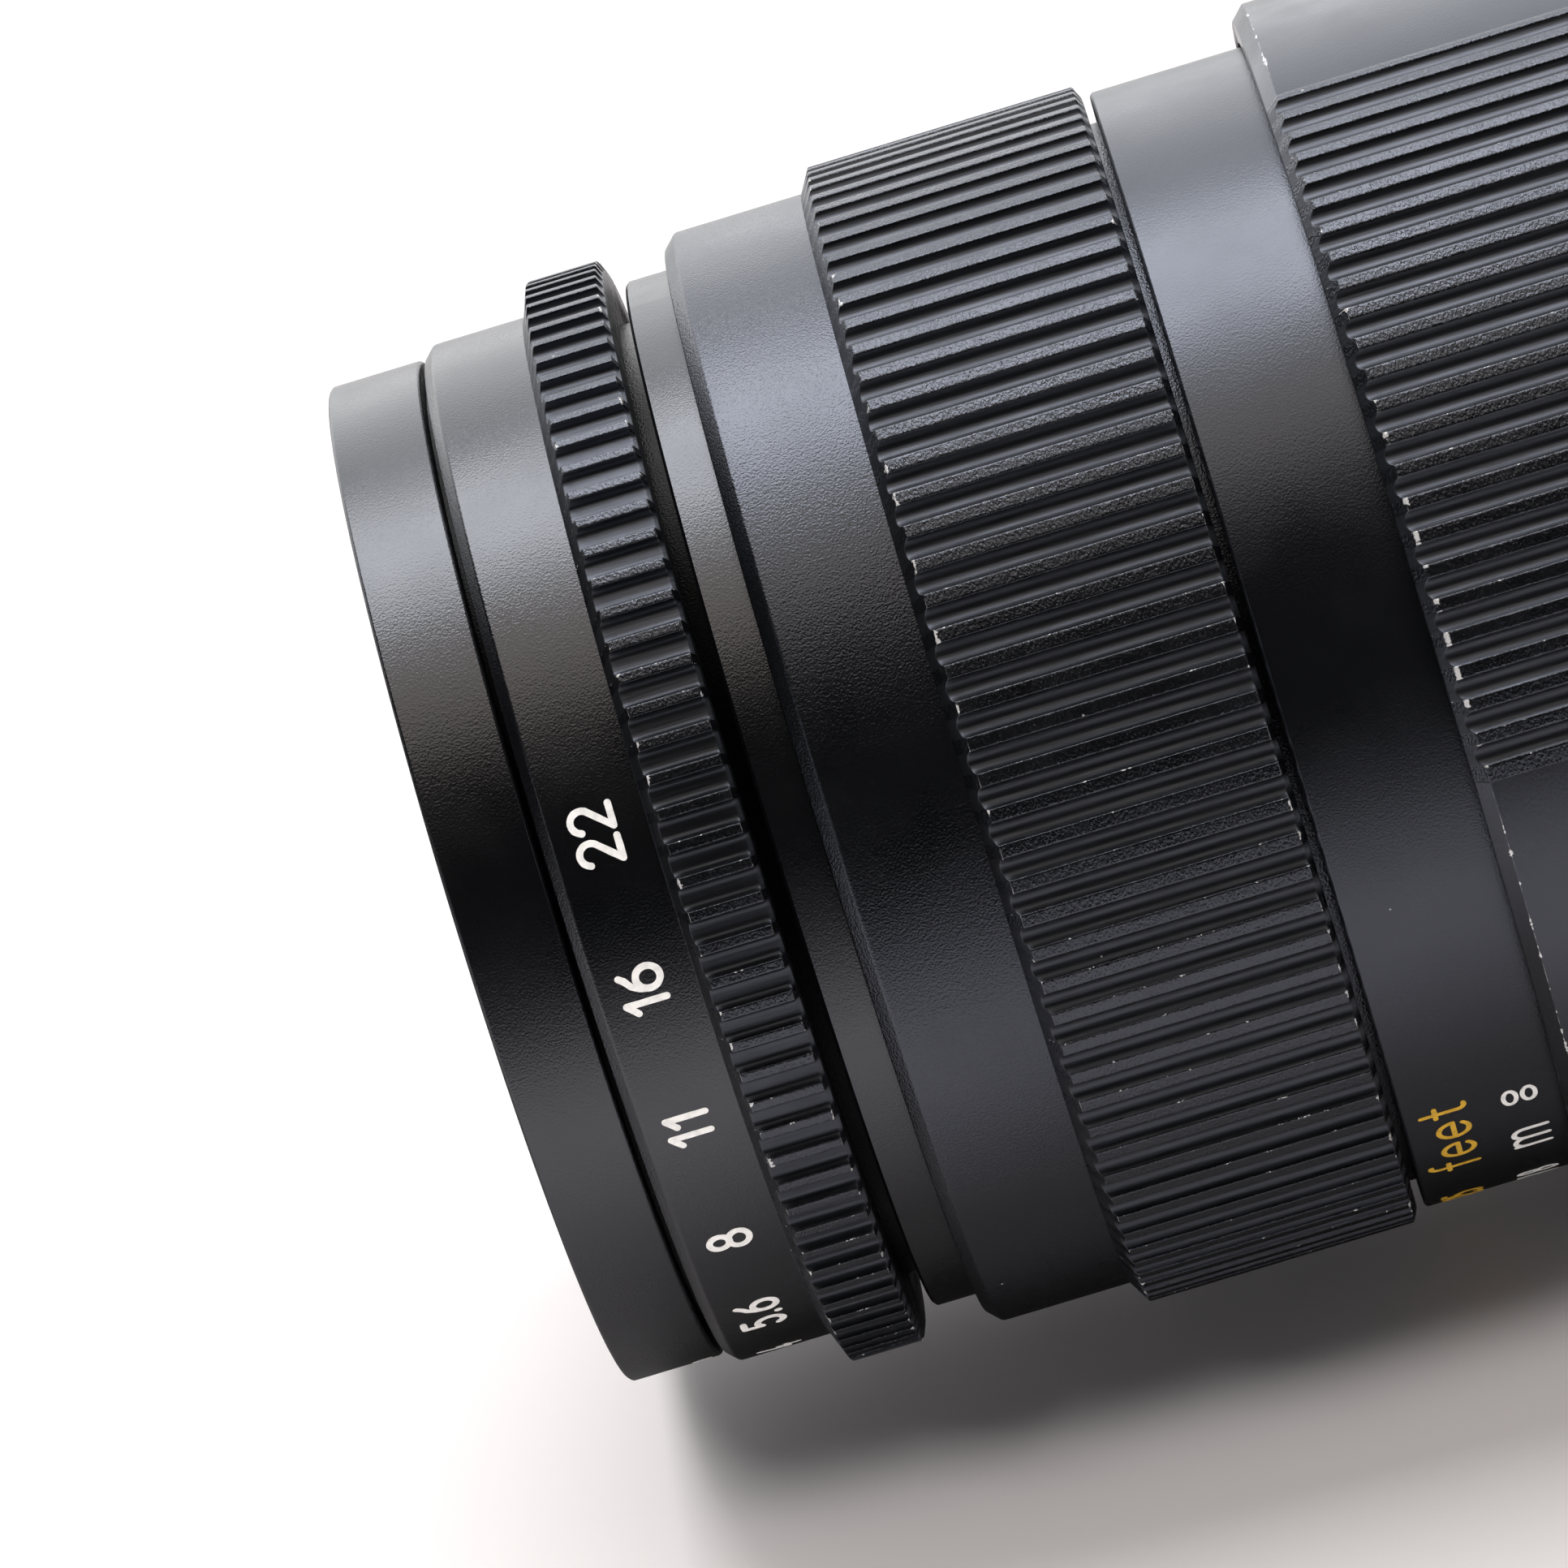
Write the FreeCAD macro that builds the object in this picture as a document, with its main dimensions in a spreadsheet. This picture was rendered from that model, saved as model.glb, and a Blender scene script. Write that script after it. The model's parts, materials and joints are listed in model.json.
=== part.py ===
import FreeCAD, Part
import math
import os
import Sketcher

# A 135 mm telephoto lens for a rangefinder camera, in millimetres.
# The optical axis is X: the front glass looks to -X and the mount faces +X.
# +Z is up as the lens lies on its side.
# The origin is the centre of the bayonet's flange face.
# Angles are counted about the axis from -Y, the side that is seen, towards +Z.
# The lens is drawn focused a little nearer than infinity and with its iris wide open.

ROWS = [
    ("infinity_length", 111.0, "flange face to front rim, focused at infinity"),
    ("full_turn", 150.0, "focus ring turn from infinity to the near limit, degrees"),
    ("full_travel", 15.0, "head travel over the full turn"),
    ("rest_turn", 24.9, "focus ring turn from infinity as drawn, degrees"),
    ("cam_reach", 7.5, "rangefinder cam behind the flange at infinity"),
    ("cam_travel", 1.76, "cam travel over the full turn"),
    ("aperture_turn", 85.75, "aperture ring turn from f/4 to f/22, degrees"),
    ("running", 0.05, "radial clearance of turning and sliding fits"),
    ("face_gap", 0.05, "axial clearance between turning faces"),
    ("sleeve_gap", 0.2, "free radial gap between sleeves that only pass each other"),
    ("edge_break", 0.12, "small chamfer on turned edges"),
    ("cement_gap", 0.02, "cement layer between bonded elements"),
    ("index_angle", -59.9, "place of the focus index around the axis, degrees"),
    ("rim_wall", 1.77, "least wall of the front rim round the filter thread"),
    ("rim_step", 1.9, "least step from the rim's spigot to its outside"),
    ("rim_length", 3.83, "front rim length"),
    ("filter_radius", 19.23, "filter thread bore"),
    ("filter_depth", 3.0, "filter thread depth"),
    ("filter_lead", 0.3, "lead-in chamfer of the filter thread"),
    ("rim_spigot_length", 3.6, "spigot that screws the rim into the head barrel"),
    ("ring_joint", 0.23, "dark joint between the rim and the aperture ring"),
    ("aperture_wall", 1.4, "wall of the aperture scale band"),
    ("aperture_chamfer", 0.44, "front chamfer of the scale band"),
    ("aperture_band_length", 4.28, "scale band from its front to the grip"),
    ("knurl_rise", 1.325, "aperture grip over the scale band"),
    ("knurl_length", 3.61, "aperture grip length"),
    ("knurl_shoulder", 0.5, "length of the grip's front cone"),
    ("knurl_rear_chamfer", 0.2, "length of the grip's rear cone"),
    ("knurl_rear_drop", 0.5, "radial drop of the grip's rear cone"),
    ("knurl_count", 104.0, "ribs round the aperture grip"),
    ("knurl_depth", 0.42, "groove depth of the aperture grip"),
    ("knurl_mouth", 0.955, "groove width at the ribs' tops"),
    ("knurl_floor", 0.42, "groove floor width"),
    ("recess_gap", 0.69, "dark recess behind the aperture grip"),
    ("neck_rise", 1.6, "neck of the head barrel over the tube under the aperture ring"),
    ("neck_length", 1.85, "neck length that shows"),
    ("collar_wall", 0.7, "smooth collar over the carrier's tube"),
    ("collar_length", 5.9, "collar length"),
    ("collar_chamfer", 0.56, "front chamfer of the collar"),
    ("grip_wall", 1.65, "focus grip over the carrier's tube"),
    ("grip_length", 11.91, "focus grip length"),
    ("grip_front_cone", 0.56, "length of the grip's front cone"),
    ("grip_rear_cone", 0.25, "length of the grip's rear cone"),
    ("grip_rear_drop", 0.55, "radial drop of the grip's rear cone"),
    ("grip_count", 104.0, "ribs round the focus grip"),
    ("grip_depth", 0.375, "groove depth of the focus grip"),
    ("grip_mouth", 0.9, "groove width at the ribs' tops"),
    ("grip_floor", 0.42, "groove floor width"),
    ("carrier_wall", 1.25, "wall of the focus carrier's tube"),
    ("scale_joint", 0.33, "dark groove between the grip and the scale sleeve"),
    ("scale_wall", 0.85, "wall of the distance scale sleeve"),
    ("scale_length", 20.8, "distance scale sleeve length"),
    ("sleeve_step", 0.35, "least step from the carrier's tube to the scale sleeve's rear bore"),
    ("scale_show", 6.34, "scale sleeve length in front of the rear barrel as drawn"),
    ("lip_length", 3.9, "inner lip of the carrier that holds it on the head"),
    ("lip_rise", 0.85, "least height of that lip"),
    ("carrier_inset", 1.22, "least reach of the carrier into the scale sleeve"),
    ("barrel_wall", 1.45, "wall of the rear barrel under its rib fields"),
    ("barrel_chamfer", 0.58, "front chamfer of the rear barrel"),
    ("barrel_rib_length", 17.0, "length of the rib fields"),
    ("barrel_groove_depth", 0.28, "groove depth of the rib fields"),
    ("barrel_groove_mouth", 0.836, "groove width at the ribs' tops"),
    ("barrel_groove_floor", 0.516, "groove floor width"),
    ("barrel_groove_pitch", 3.065, "angle between grooves, degrees"),
    ("barrel_groove_count", 23.0, "grooves in each of the two fields"),
    ("field_offset", 103.5, "field centre from the index, degrees"),
    ("waist_drop", 0.4, "rear barrel behind the ribs, below their tops"),
    ("barrel_flare", 6.48, "cone from the waist to the base ring"),
    ("flare_rise", 1.2, "rise of that cone"),
    ("base_rise", 0.3, "base ring over the cone's end"),
    ("base_margin", 4.3, "least reach of the base ring over the bayonet register"),
    ("base_length", 10.5, "base ring length"),
    ("base_gap", 0.4, "free gap of the base ring round the cam sleeve"),
    ("base_spigot_length", 6.0, "spigot of the base ring in the rear barrel"),
    ("base_spigot_wall", 0.85, "wall of that spigot"),
    ("flange_drop", 0.3, "bayonet flange below the base ring's outside"),
    ("flange_thickness", 3.5, "bayonet flange thickness"),
    ("register_radius", 21.9, "bayonet register"),
    ("register_length", 4.0, "bayonet register length"),
    ("lug_reach", 1.7, "lugs over the register"),
    ("lug_start", 1.7, "lug front face behind the flange"),
    ("lug_thickness", 1.3, "lug thickness"),
    ("lug_angle", 38.0, "angle that each lug covers, degrees"),
    ("notch_width", 3.0, "lock pin notch in the flange"),
    ("notch_depth", 1.5, "lock pin notch depth"),
    ("screw_inset", 1.8, "mount screws from the flange's edge"),
    ("screw_offset", 45.0, "first mount screw from the bead, degrees"),
    ("screw_head_radius", 1.1, "mount screw head"),
    ("screw_head_height", 1.0, "mount screw head height"),
    ("screw_shank_radius", 0.7, "mount screw shank"),
    ("screw_shank_length", 6.0, "mount screw shank length"),
    ("screw_slot", 0.35, "mount screw slot width"),
    ("cam_drop", 0.55, "rangefinder cam below the guide tube's outside"),
    ("cam_wall", 1.55, "rangefinder cam wall"),
    ("cam_sleeve_wall", 1.85, "wall of the cam sleeve, rear part"),
    ("cam_thread_wall", 0.75, "wall of the cam sleeve, front part"),
    ("cam_web", 0.7, "web between the cam sleeve and the cam"),
    ("cam_web_back", 0.41, "web behind the mount's front face at rest, as a gap"),
    ("cam_inset", 17.98, "front end of the cam sleeve behind the turning helicoid's flange"),
    ("stop_gap", 0.8, "fixed helicoid's front end behind the stop lug at infinity"),
    ("fixed_margin", 4.0, "fixed helicoid's rear end in front of the base ring"),
    ("fixed_wall", 1.5, "fixed helicoid wall"),
    ("helicoid_wall", 1.7, "turning helicoid wall"),
    ("key_room", 11.61, "turning helicoid's rear end in front of the guide key at infinity"),
    ("helicoid_flange", 2.0, "turning helicoid flange thickness"),
    ("fixed_flange_inset", 14.0, "fixed helicoid's seat from its rear end"),
    ("fixed_flange_length", 6.0, "seat length"),
    ("stop_angle", 8.0, "angle that each stop block covers, degrees"),
    ("stop_length", 1.3, "stop block length"),
    ("key_inset", 8.0, "front end of the guide key from the fixed helicoid's rear end"),
    ("key_length", 6.0, "guide key length"),
    ("key_width", 4.0, "guide key width"),
    ("key_screw_radius", 0.8, "guide key screws"),
    ("tube_wall", 1.3, "guide tube wall"),
    ("tube_room", 2.5, "free gap between the guide tube and the rear cell"),
    ("tube_gap", 0.4, "guide tube's rear end in front of the cam sleeve's web at infinity"),
    ("barrel_tube_wall", 0.9, "head barrel wall under the aperture ring"),
    ("head_wall", 1.85, "least wall of the head barrel under the focus carrier"),
    ("head_overlap", 0.53, "head barrel behind its lock ring"),
    ("lock_wall", 1.8, "wall of the head barrel under its lock ring"),
    ("lock_ring_length", 2.5, "lock ring length"),
    ("shoulder_inset", 0.7, "head barrel shoulder behind its inner seat's front face"),
    ("seat_width", 2.85, "inner seat of the head barrel below the guide tube's outside"),
    ("seat_length", 1.2, "inner seat length"),
    ("cell_wall", 0.55, "front cell wall"),
    ("cell_length", 17.5, "front cell length"),
    ("cell_seat_length", 4.0, "front cell's rear seat length"),
    ("cell_seat_width", 1.1, "front cell's seat under the glass"),
    ("front_glass_radius", 17.9, "front elements"),
    ("ring_width", 1.0, "spacers and retaining rings over the glass"),
    ("first_edge", 2.6, "edge thickness of element 1"),
    ("first_front_curve", 60.0, "front curve of element 1"),
    ("first_rear_curve", 120.0, "rear curve of element 1"),
    ("spacer_length", 2.0, "least spacer between elements 1 and 2"),
    ("least_air", 0.3, "least gap between elements 1 and 2 on the axis"),
    ("second_edge", 1.8, "edge thickness of element 2"),
    ("second_front_curve", 60.0, "front curve of element 2"),
    ("bond_curve", 70.0, "bonded curve of elements 2 and 3"),
    ("third_edge", 3.9, "edge thickness of element 3"),
    ("retainer_length", 1.4, "retaining ring length"),
    ("glass_flat", 0.4, "flat ring round a hollow glass curve"),
    ("drive_wall", 0.5, "iris drive sleeve wall"),
    ("drive_overlap", 1.66, "iris drive sleeve in front of its drive screw"),
    ("drive_plate", 0.9, "slotted plate of the drive sleeve"),
    ("drive_plate_step", 0.5, "bore of the slotted plate over the iris opening"),
    ("drive_slot_width", 0.8, "slots of the plate"),
    ("drive_screw_radius", 0.5, "aperture drive screw"),
    ("drive_screw_place", 6.5, "drive screw behind the aperture ring's front"),
    ("slot_margin", 4.0, "play of the drive slot at each end, degrees"),
    ("base_plate_thickness", 1.0, "iris base plate"),
    ("base_plate_step", 0.3, "iris base plate bore over the iris opening"),
    ("blade_width", 2.8, "blade width; the iris opening at f/4 is what it leaves"),
    ("blade_drop", 0.9, "blade outer edge inside the pivots"),
    ("blade_thickness", 0.1, "blade thickness"),
    ("blade_pitch", 0.16, "axial pitch of the blades"),
    ("iris_room", 1.04, "free room between the blades and the slotted plate"),
    ("blade_span", 112.0, "angle that each blade covers, degrees"),
    ("blade_heel", 3.0, "angle by which a blade starts before its pivot, degrees"),
    ("pivot_inset", 2.2, "blade pivots inside the front cell's outside"),
    ("ear_radius", 1.1, "blade ear round the pivot"),
    ("pin_radius", 0.4, "blade pivot pin"),
    ("click_groove_depth", 0.25, "groove for the click ball in the aperture ring"),
    ("click_groove_width", 1.2, "width of that groove"),
    ("click_notch_radius", 0.45, "click notch radius"),
    ("click_notch_depth", 0.3, "click notch depth below the groove"),
    ("click_ball_radius", 0.7, "click ball"),
    ("click_ball_place", 0.2, "ball centre in front of the neck's face"),
    ("click_rise", 0.75, "click ball outside the tube under the aperture ring"),
    ("click_angle", 180.0, "click ball from the drive slot's first end, degrees"),
    ("click_hole_depth", 1.6, "hole for the click spring"),
    ("click_wire", 0.22, "width of the click spring's square wire"),
    ("click_coils", 2.5, "turns of the click spring"),
    ("rear_cell_wall", 1.45, "rear cell wall"),
    ("rear_cell_flange", 2.5, "rear cell flange thickness"),
    ("rear_cell_length", 24.5, "rear cell length"),
    ("rear_seat_width", 0.8, "rear cell's seat under the glass"),
    ("rear_cell_seat_length", 2.0, "rear cell's seat length"),
    ("rear_glass_radius", 13.0, "rear elements"),
    ("fourth_edge", 2.0, "edge thickness of element 4"),
    ("fourth_front_curve", 40.0, "front curve of element 4"),
    ("rear_bond_curve", 30.0, "bonded curve of elements 4 and 5"),
    ("fifth_edge", 4.0, "edge thickness of element 5"),
    ("fifth_rear_curve", 60.0, "rear curve of element 5"),
    ("baffle_step", 0.3, "bore of the tube baffle over the rear cell"),
    ("baffle_length", 1.5, "tube baffle length"),
    ("bead_radius", 1.5, "red alignment bead"),
    ("bead_stem", 1.2, "bead stem length"),
    ("bead_sink", 0.6, "bead's widest circle below the base ring's surface"),
    ("bead_angle", 30.0, "place of the bead around the axis, degrees"),
    ("bead_place", 3.4, "bead in front of the base ring's rear face"),
    ("helicoid_screw_radius", 0.35, "screws of the turning helicoid"),
    ("helicoid_screw_head", 0.6, "heads of those screws"),
    ("helicoid_screw_length", 2.5, "length of those screws in the carrier"),
    ("barrel_screw_radius", 0.8, "screws through the rear barrel"),
]

BLADES = 10
CLICKS = 11
LUGS = 4
MOUNT_SCREWS = 4
RING_SCREWS = 3
KEY_SCREWS = (("front_key_screw", 0.25), ("rear_key_screw", 0.75))


class Size:
    """A number together with the sheet expression that it comes from."""

    def __init__(self, value, text):
        self.value = value
        self.text = text

    def join(self, other, sign, value):
        right = other.text if isinstance(other, Size) else "%.9g" % other
        return Size(value, "(%s %s %s)" % (self.text, sign, right))

    def __add__(self, other):
        return self.join(other, "+", self.value + plain(other))

    def __sub__(self, other):
        return self.join(other, "-", self.value - plain(other))

    def __mul__(self, other):
        return self.join(other, "*", self.value * plain(other))

    def __truediv__(self, other):
        return self.join(other, "/", self.value / plain(other))


def plain(number):
    return number.value if isinstance(number, Size) else number


def root(size):
    return Size(math.sqrt(size.value), "sqrt(%s)" % size.text)


def largest(first, second):
    return Size(max(first.value, second.value), "max(%s; %s)" % (first.text, second.text))


class Sheet:
    """The driving dimensions: one row for each alias, its value and what it is."""

    def __init__(self, document, rows):
        cells = document.addObject("Spreadsheet::Sheet", "Sizes")
        for number, (alias, value, meaning) in enumerate(rows, start=1):
            cells.set("A%d" % number, alias)
            cells.set("B%d" % number, str(value))
            cells.setAlias("B%d" % number, alias)
            cells.set("C%d" % number, meaning)
            setattr(self, alias, Size(value, "Sizes." + alias))


doc = FreeCAD.newDocument("telephoto_lens")
s = Sheet(doc, ROWS)
doc.recompute()
nodes = []

# Radii, from the inside out: each sleeve is the one inside it plus a fit and a wall.

rear_cell_bore = s.rear_glass_radius + s.running
rear_cell_radius = rear_cell_bore + s.rear_cell_wall
rear_cell_seat_bore = s.rear_glass_radius - s.rear_seat_width
baffle_bore = rear_cell_radius + s.baffle_step
tube_bore = rear_cell_radius + s.tube_room
tube_radius = tube_bore + s.tube_wall
seat_bore = tube_radius - s.seat_width
lock_thread_radius = tube_radius + s.lock_wall
cell_bore = s.front_glass_radius + s.running
cell_seat_bore = s.front_glass_radius - s.cell_seat_width
element_ring_bore = s.front_glass_radius - s.ring_width
cell_radius = cell_bore + s.cell_wall
pivot_radius = cell_radius - s.pivot_inset
blade_outer = pivot_radius - s.blade_drop
blade_inner = blade_outer - s.blade_width
base_plate_bore = blade_inner + s.base_plate_step
drive_plate_bore = blade_inner + s.drive_plate_step
drive_bore = cell_radius + s.running
drive_radius = drive_bore + s.drive_wall
barrel_tube_bore = drive_radius + s.running
barrel_tube_radius = barrel_tube_bore + s.barrel_tube_wall
aperture_bore = barrel_tube_radius + s.running
aperture_band_radius = aperture_bore + s.aperture_wall
knurl_radius = aperture_band_radius + s.knurl_rise
click_place = barrel_tube_radius + s.click_rise
neck_radius = barrel_tube_radius + s.neck_rise
rim_radius = largest(barrel_tube_bore + s.rim_step, s.filter_radius + s.rim_wall)
bearing_radius = largest(barrel_tube_bore + s.head_wall, lock_thread_radius + s.lip_rise)
lip_radius = lock_thread_radius + s.running
carrier_bore = bearing_radius + s.running
carrier_radius = carrier_bore + s.carrier_wall
collar_radius = carrier_radius + s.collar_wall
grip_radius = carrier_radius + s.grip_wall
cam_radius = tube_radius - s.cam_drop
cam_bore = cam_radius - s.cam_wall
sleeve_bore = tube_radius + s.running
cam_thread_radius = sleeve_bore + s.cam_thread_wall
cam_sleeve_radius = sleeve_bore + s.cam_sleeve_wall
helicoid_bore = cam_thread_radius + s.running
helicoid_radius = helicoid_bore + s.helicoid_wall
fixed_bore = helicoid_radius + s.running
fixed_radius = fixed_bore + s.fixed_wall
scale_bore = largest(fixed_radius + s.sleeve_gap, carrier_radius + s.sleeve_step)
scale_radius = scale_bore + s.scale_wall
barrel_bore = scale_radius + s.sleeve_gap
barrel_radius = barrel_bore + s.barrel_wall
waist_radius = barrel_radius - s.waist_drop
flare_radius = waist_radius + s.flare_rise
base_radius = largest(flare_radius + s.base_rise, s.register_radius + s.base_margin)
base_bore = cam_sleeve_radius + s.base_gap
base_spigot_bore = barrel_bore - s.base_spigot_wall
flange_radius = base_radius - s.flange_drop
lug_radius = s.register_radius + s.lug_reach
mount_screw_radius = flange_radius - s.screw_inset

# Stations along the axis, from the front rim to the flange.

rest_travel = s.full_travel * s.rest_turn / s.full_turn
rest_cam = s.cam_travel * s.rest_turn / s.full_turn
front = (s.infinity_length + rest_travel) * -1
rim_rear = front + s.rim_length
aperture_front = rim_rear + s.ring_joint
knurl_front = aperture_front + s.aperture_band_length
knurl_rear = knurl_front + s.knurl_length
neck_front = knurl_rear + s.recess_gap
collar_front = neck_front + s.neck_length + s.face_gap
grip_front = collar_front + s.collar_length
grip_rear = grip_front + s.grip_length
scale_front = grip_rear + s.scale_joint
scale_rear = scale_front + s.scale_length
barrel_front = scale_front + s.scale_show
cell_front = front + s.filter_depth
cell_rear = cell_front + s.cell_length
iris_plate_rear = cell_rear + s.base_plate_thickness
drive_plate_front = iris_plate_rear + s.blade_pitch * (BLADES + 1) + s.iris_room
drive_rear = drive_plate_front + s.drive_plate
drive_screw_station = aperture_front + s.drive_screw_place
drive_front = drive_screw_station - s.drive_overlap
seat_front = drive_rear + s.face_gap * 2
seat_rear = seat_front + s.seat_length
head_shoulder = seat_front + s.shoulder_inset
lip_front = head_shoulder + s.face_gap
lip_rear = lip_front + s.lip_length
lock_ring_front = lip_rear + s.face_gap
head_rear = lock_ring_front + s.lock_ring_length + s.head_overlap
carrier_rear = largest(lip_rear + s.lip_length + s.face_gap, scale_front + s.carrier_inset)
helicoid_tube = carrier_rear + s.helicoid_flange
base_front = (s.flange_thickness + s.base_length) * -1
mount_front = s.flange_thickness * -1
fixed_start = helicoid_tube + rest_travel + s.stop_length + s.stop_gap
fixed_rear = base_front - s.fixed_margin
fixed_seat_end = fixed_rear - s.fixed_flange_inset
fixed_seat_start = fixed_seat_end - s.fixed_flange_length
key_start = fixed_rear - s.key_inset
helicoid_end = key_start - rest_travel - s.key_room
cam_step = helicoid_end + rest_travel
cam_start = helicoid_tube + s.cam_inset
web_rear = mount_front - s.cam_web_back
web_front = web_rear - s.cam_web
tube_rear = web_front - rest_travel - s.tube_gap

# Turns about the axis from +Z. The head barrel starts at its drive slot, the rear barrel at the index.

head_turn = (s.slot_margin - 90) * -1
barrel_turn = (s.index_angle - 90) * -1
click_turn = head_turn + s.click_angle
bead_turn = (s.bead_angle - 90) * -1
screw_turn = bead_turn + s.screw_offset


def origin_feature(body, role):
    return [feature for feature in body.Origin.OriginFeatures if feature.Role == role][0]


def bind(target, path, size):
    target.setExpression(path, size.text)


def polygon(sketch, corners):
    """A closed outline whose corners are tied to the axes by sheet expressions; 0 means on the axis."""
    count = len(corners)
    for number in range(count):
        ends = [corners[number], corners[(number + 1) % count]]
        ends = [FreeCAD.Vector(plain(x), plain(y), 0) for x, y in ends]
        sketch.addGeometry(Part.LineSegment(ends[0], ends[1]))
    for number in range(count):
        sketch.addConstraint(Sketcher.Constraint("Coincident", number, 2, (number + 1) % count, 1))
    for number, (x, y) in enumerate(corners):
        for kind, axis, size in (("DistanceX", -2, x), ("DistanceY", -1, y)):
            if isinstance(size, Size):
                made = Sketcher.Constraint(kind, -1, 1, number, 1, size.value)
                index = sketch.addConstraint(made)
                bind(sketch, "Constraints[%d]" % index, size)
            else:
                sketch.addConstraint(Sketcher.Constraint("PointOnObject", number, 1, axis))


def spin_about(x, y, z):
    """A small positive turn that fixes the axis; the bound angle then replaces the turn's size."""
    return FreeCAD.Rotation(FreeCAD.Vector(x, y, z), 1)


def new_sketch(body, name, role, offset=None, turn=None):
    """A sketch on one of the body's origin planes, moved along and turned about the plane's normal."""
    sketch = body.newObject("Sketcher::SketchObject", name)
    sketch.AttachmentSupport = (origin_feature(body, role), "")
    sketch.MapMode = "FlatFace"
    if offset is not None:
        bind(sketch, "AttachmentOffset.Base.z", offset)
    if turn is not None:
        sketch.AttachmentOffset = FreeCAD.Placement(FreeCAD.Vector(), spin_about(0, 0, 1))
        bind(sketch, "AttachmentOffset.Rotation.Angle", turn)
    return sketch


def new_body(name, start, turn=None):
    """An empty body whose own X starts at a station along the axis and which is turned about it."""
    body = doc.addObject("PartDesign::Body", name)
    body.Label = name
    if turn is not None:
        body.Placement = FreeCAD.Placement(FreeCAD.Vector(), spin_about(1, 0, 0))
        bind(body, "Placement.Rotation.Angle", turn)
    bind(body, "Placement.Base.x", start)
    return body


def local(x, start):
    return 0 if x is start else x - start


def turned(name, start, outline, turn=None):
    """A body turned about the axis from an outline of (station, radius) corners."""
    body = new_body(name, start, turn)
    sketch = new_sketch(body, name + "_outline", "XY_Plane")
    polygon(sketch, [(local(x, start), radius) for x, radius in outline])
    revolution = body.newObject("PartDesign::Revolution", name + "_turned")
    revolution.Profile = sketch
    revolution.ReferenceAxis = (sketch, ["H_Axis"])
    revolution.Angle = 360
    body.Tip = revolution
    return body


def keep(item, label=None):
    """Marks an object as a finished sub-part."""
    if label is not None:
        item.Label = label
    nodes.append(item)
    return item


def volume(body):
    doc.recompute()
    return body.Shape.Volume


def check_cut(body, before):
    """A cut that points away from its solid takes nothing off, so each one is measured."""
    after = volume(body)
    if not 0 < after < before - 1e-4:
        raise RuntimeError("%s: a cut left its volume at %.4f" % (body.Label, after))


def polar(body, name, originals, count, angle=None):
    """Repeats cuts or pads about the axis: all the way round, or over an angle."""
    pattern = body.newObject("PartDesign::PolarPattern", name)
    pattern.Originals = originals
    pattern.Axis = (origin_feature(body, "X_Axis"), [""])
    pattern.Angle = 360
    if isinstance(count, Size):
        pattern.Occurrences = int(count.value)
        bind(pattern, "Occurrences", count)
    else:
        pattern.Occurrences = count
    if angle is not None:
        pattern.Angle = angle.value
        bind(pattern, "Angle", angle)
    body.Tip = pattern
    return pattern


def pocket(body, sketch, name, depth, forward=True):
    """A straight cut from a sketch, along its normal when forward."""
    cut = body.newObject("PartDesign::Pocket", name)
    cut.Profile = sketch
    cut.Length = depth.value
    bind(cut, "Length", depth)
    cut.Reversed = forward
    body.Tip = cut
    return cut


def cut_ribs(body, name, radius, depth, mouth, floor, length, count, turn=None, angle=None):
    """Flat-bottomed grooves along the axis that leave ribs between them."""
    before = volume(body)
    sketch = new_sketch(body, name + "_groove", "YZ_Plane", turn=turn)
    slope = (mouth - floor) / 2 / depth
    above = depth / 2
    top = radius + above
    half_top = mouth / 2 + slope * above
    half_floor = floor / 2
    bottom = radius - depth
    polygon(sketch, [(half_floor * -1, bottom), (half_floor, bottom), (half_top, top), (half_top * -1, top)])
    cut = pocket(body, sketch, name + "_cut", length)
    polar(body, name, [cut], count, angle)
    check_cut(body, before)


def rectangle(sketch, x_low, x_high, y_low, y_high):
    polygon(sketch, [(x_low, y_low), (x_high, y_low), (x_high, y_high), (x_low, y_high)])


def circle(sketch, x, y, radius):
    """A circle whose centre and radius are tied to the sheet; 0 puts the centre on an axis."""
    centre = FreeCAD.Vector(plain(x), plain(y), 0)
    sketch.addGeometry(Part.Circle(centre, FreeCAD.Vector(0, 0, 1), radius.value))
    curve = sketch.GeometryCount - 1
    for kind, axis, size in (("DistanceX", -2, x), ("DistanceY", -1, y)):
        if isinstance(size, Size):
            index = sketch.addConstraint(Sketcher.Constraint(kind, -1, 1, curve, 3, size.value))
            bind(sketch, "Constraints[%d]" % index, size)
        else:
            sketch.addConstraint(Sketcher.Constraint("PointOnObject", curve, 3, axis))
    index = sketch.addConstraint(Sketcher.Constraint("Radius", curve, radius.value))
    bind(sketch, "Constraints[%d]" % index, radius)


def radial_hole(body, name, station, radius, low, depth, count=1):
    """Round holes that run outward from a radius, spread evenly round the axis."""
    before = volume(body)
    sketch = new_sketch(body, name + "_circle", "XY_Plane", offset=low)
    circle(sketch, station, 0, radius)
    cut = pocket(body, sketch, name, depth)
    if count > 1:
        polar(body, name + "_round", [cut], count)
    check_cut(body, before)


def axial_hole(body, name, place, radius, low, depth, count=1, turn=None, angle=None):
    """Round holes along the axis at a distance from it."""
    before = volume(body)
    sketch = new_sketch(body, name + "_circle", "YZ_Plane", turn=turn)
    if low is not None:
        bind(sketch, "AttachmentOffset.Base.z", low)
    circle(sketch, 0, place, radius)
    cut = pocket(body, sketch, name, depth)
    if count > 1:
        polar(body, name + "_round", [cut], count, angle)
    check_cut(body, before)


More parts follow.
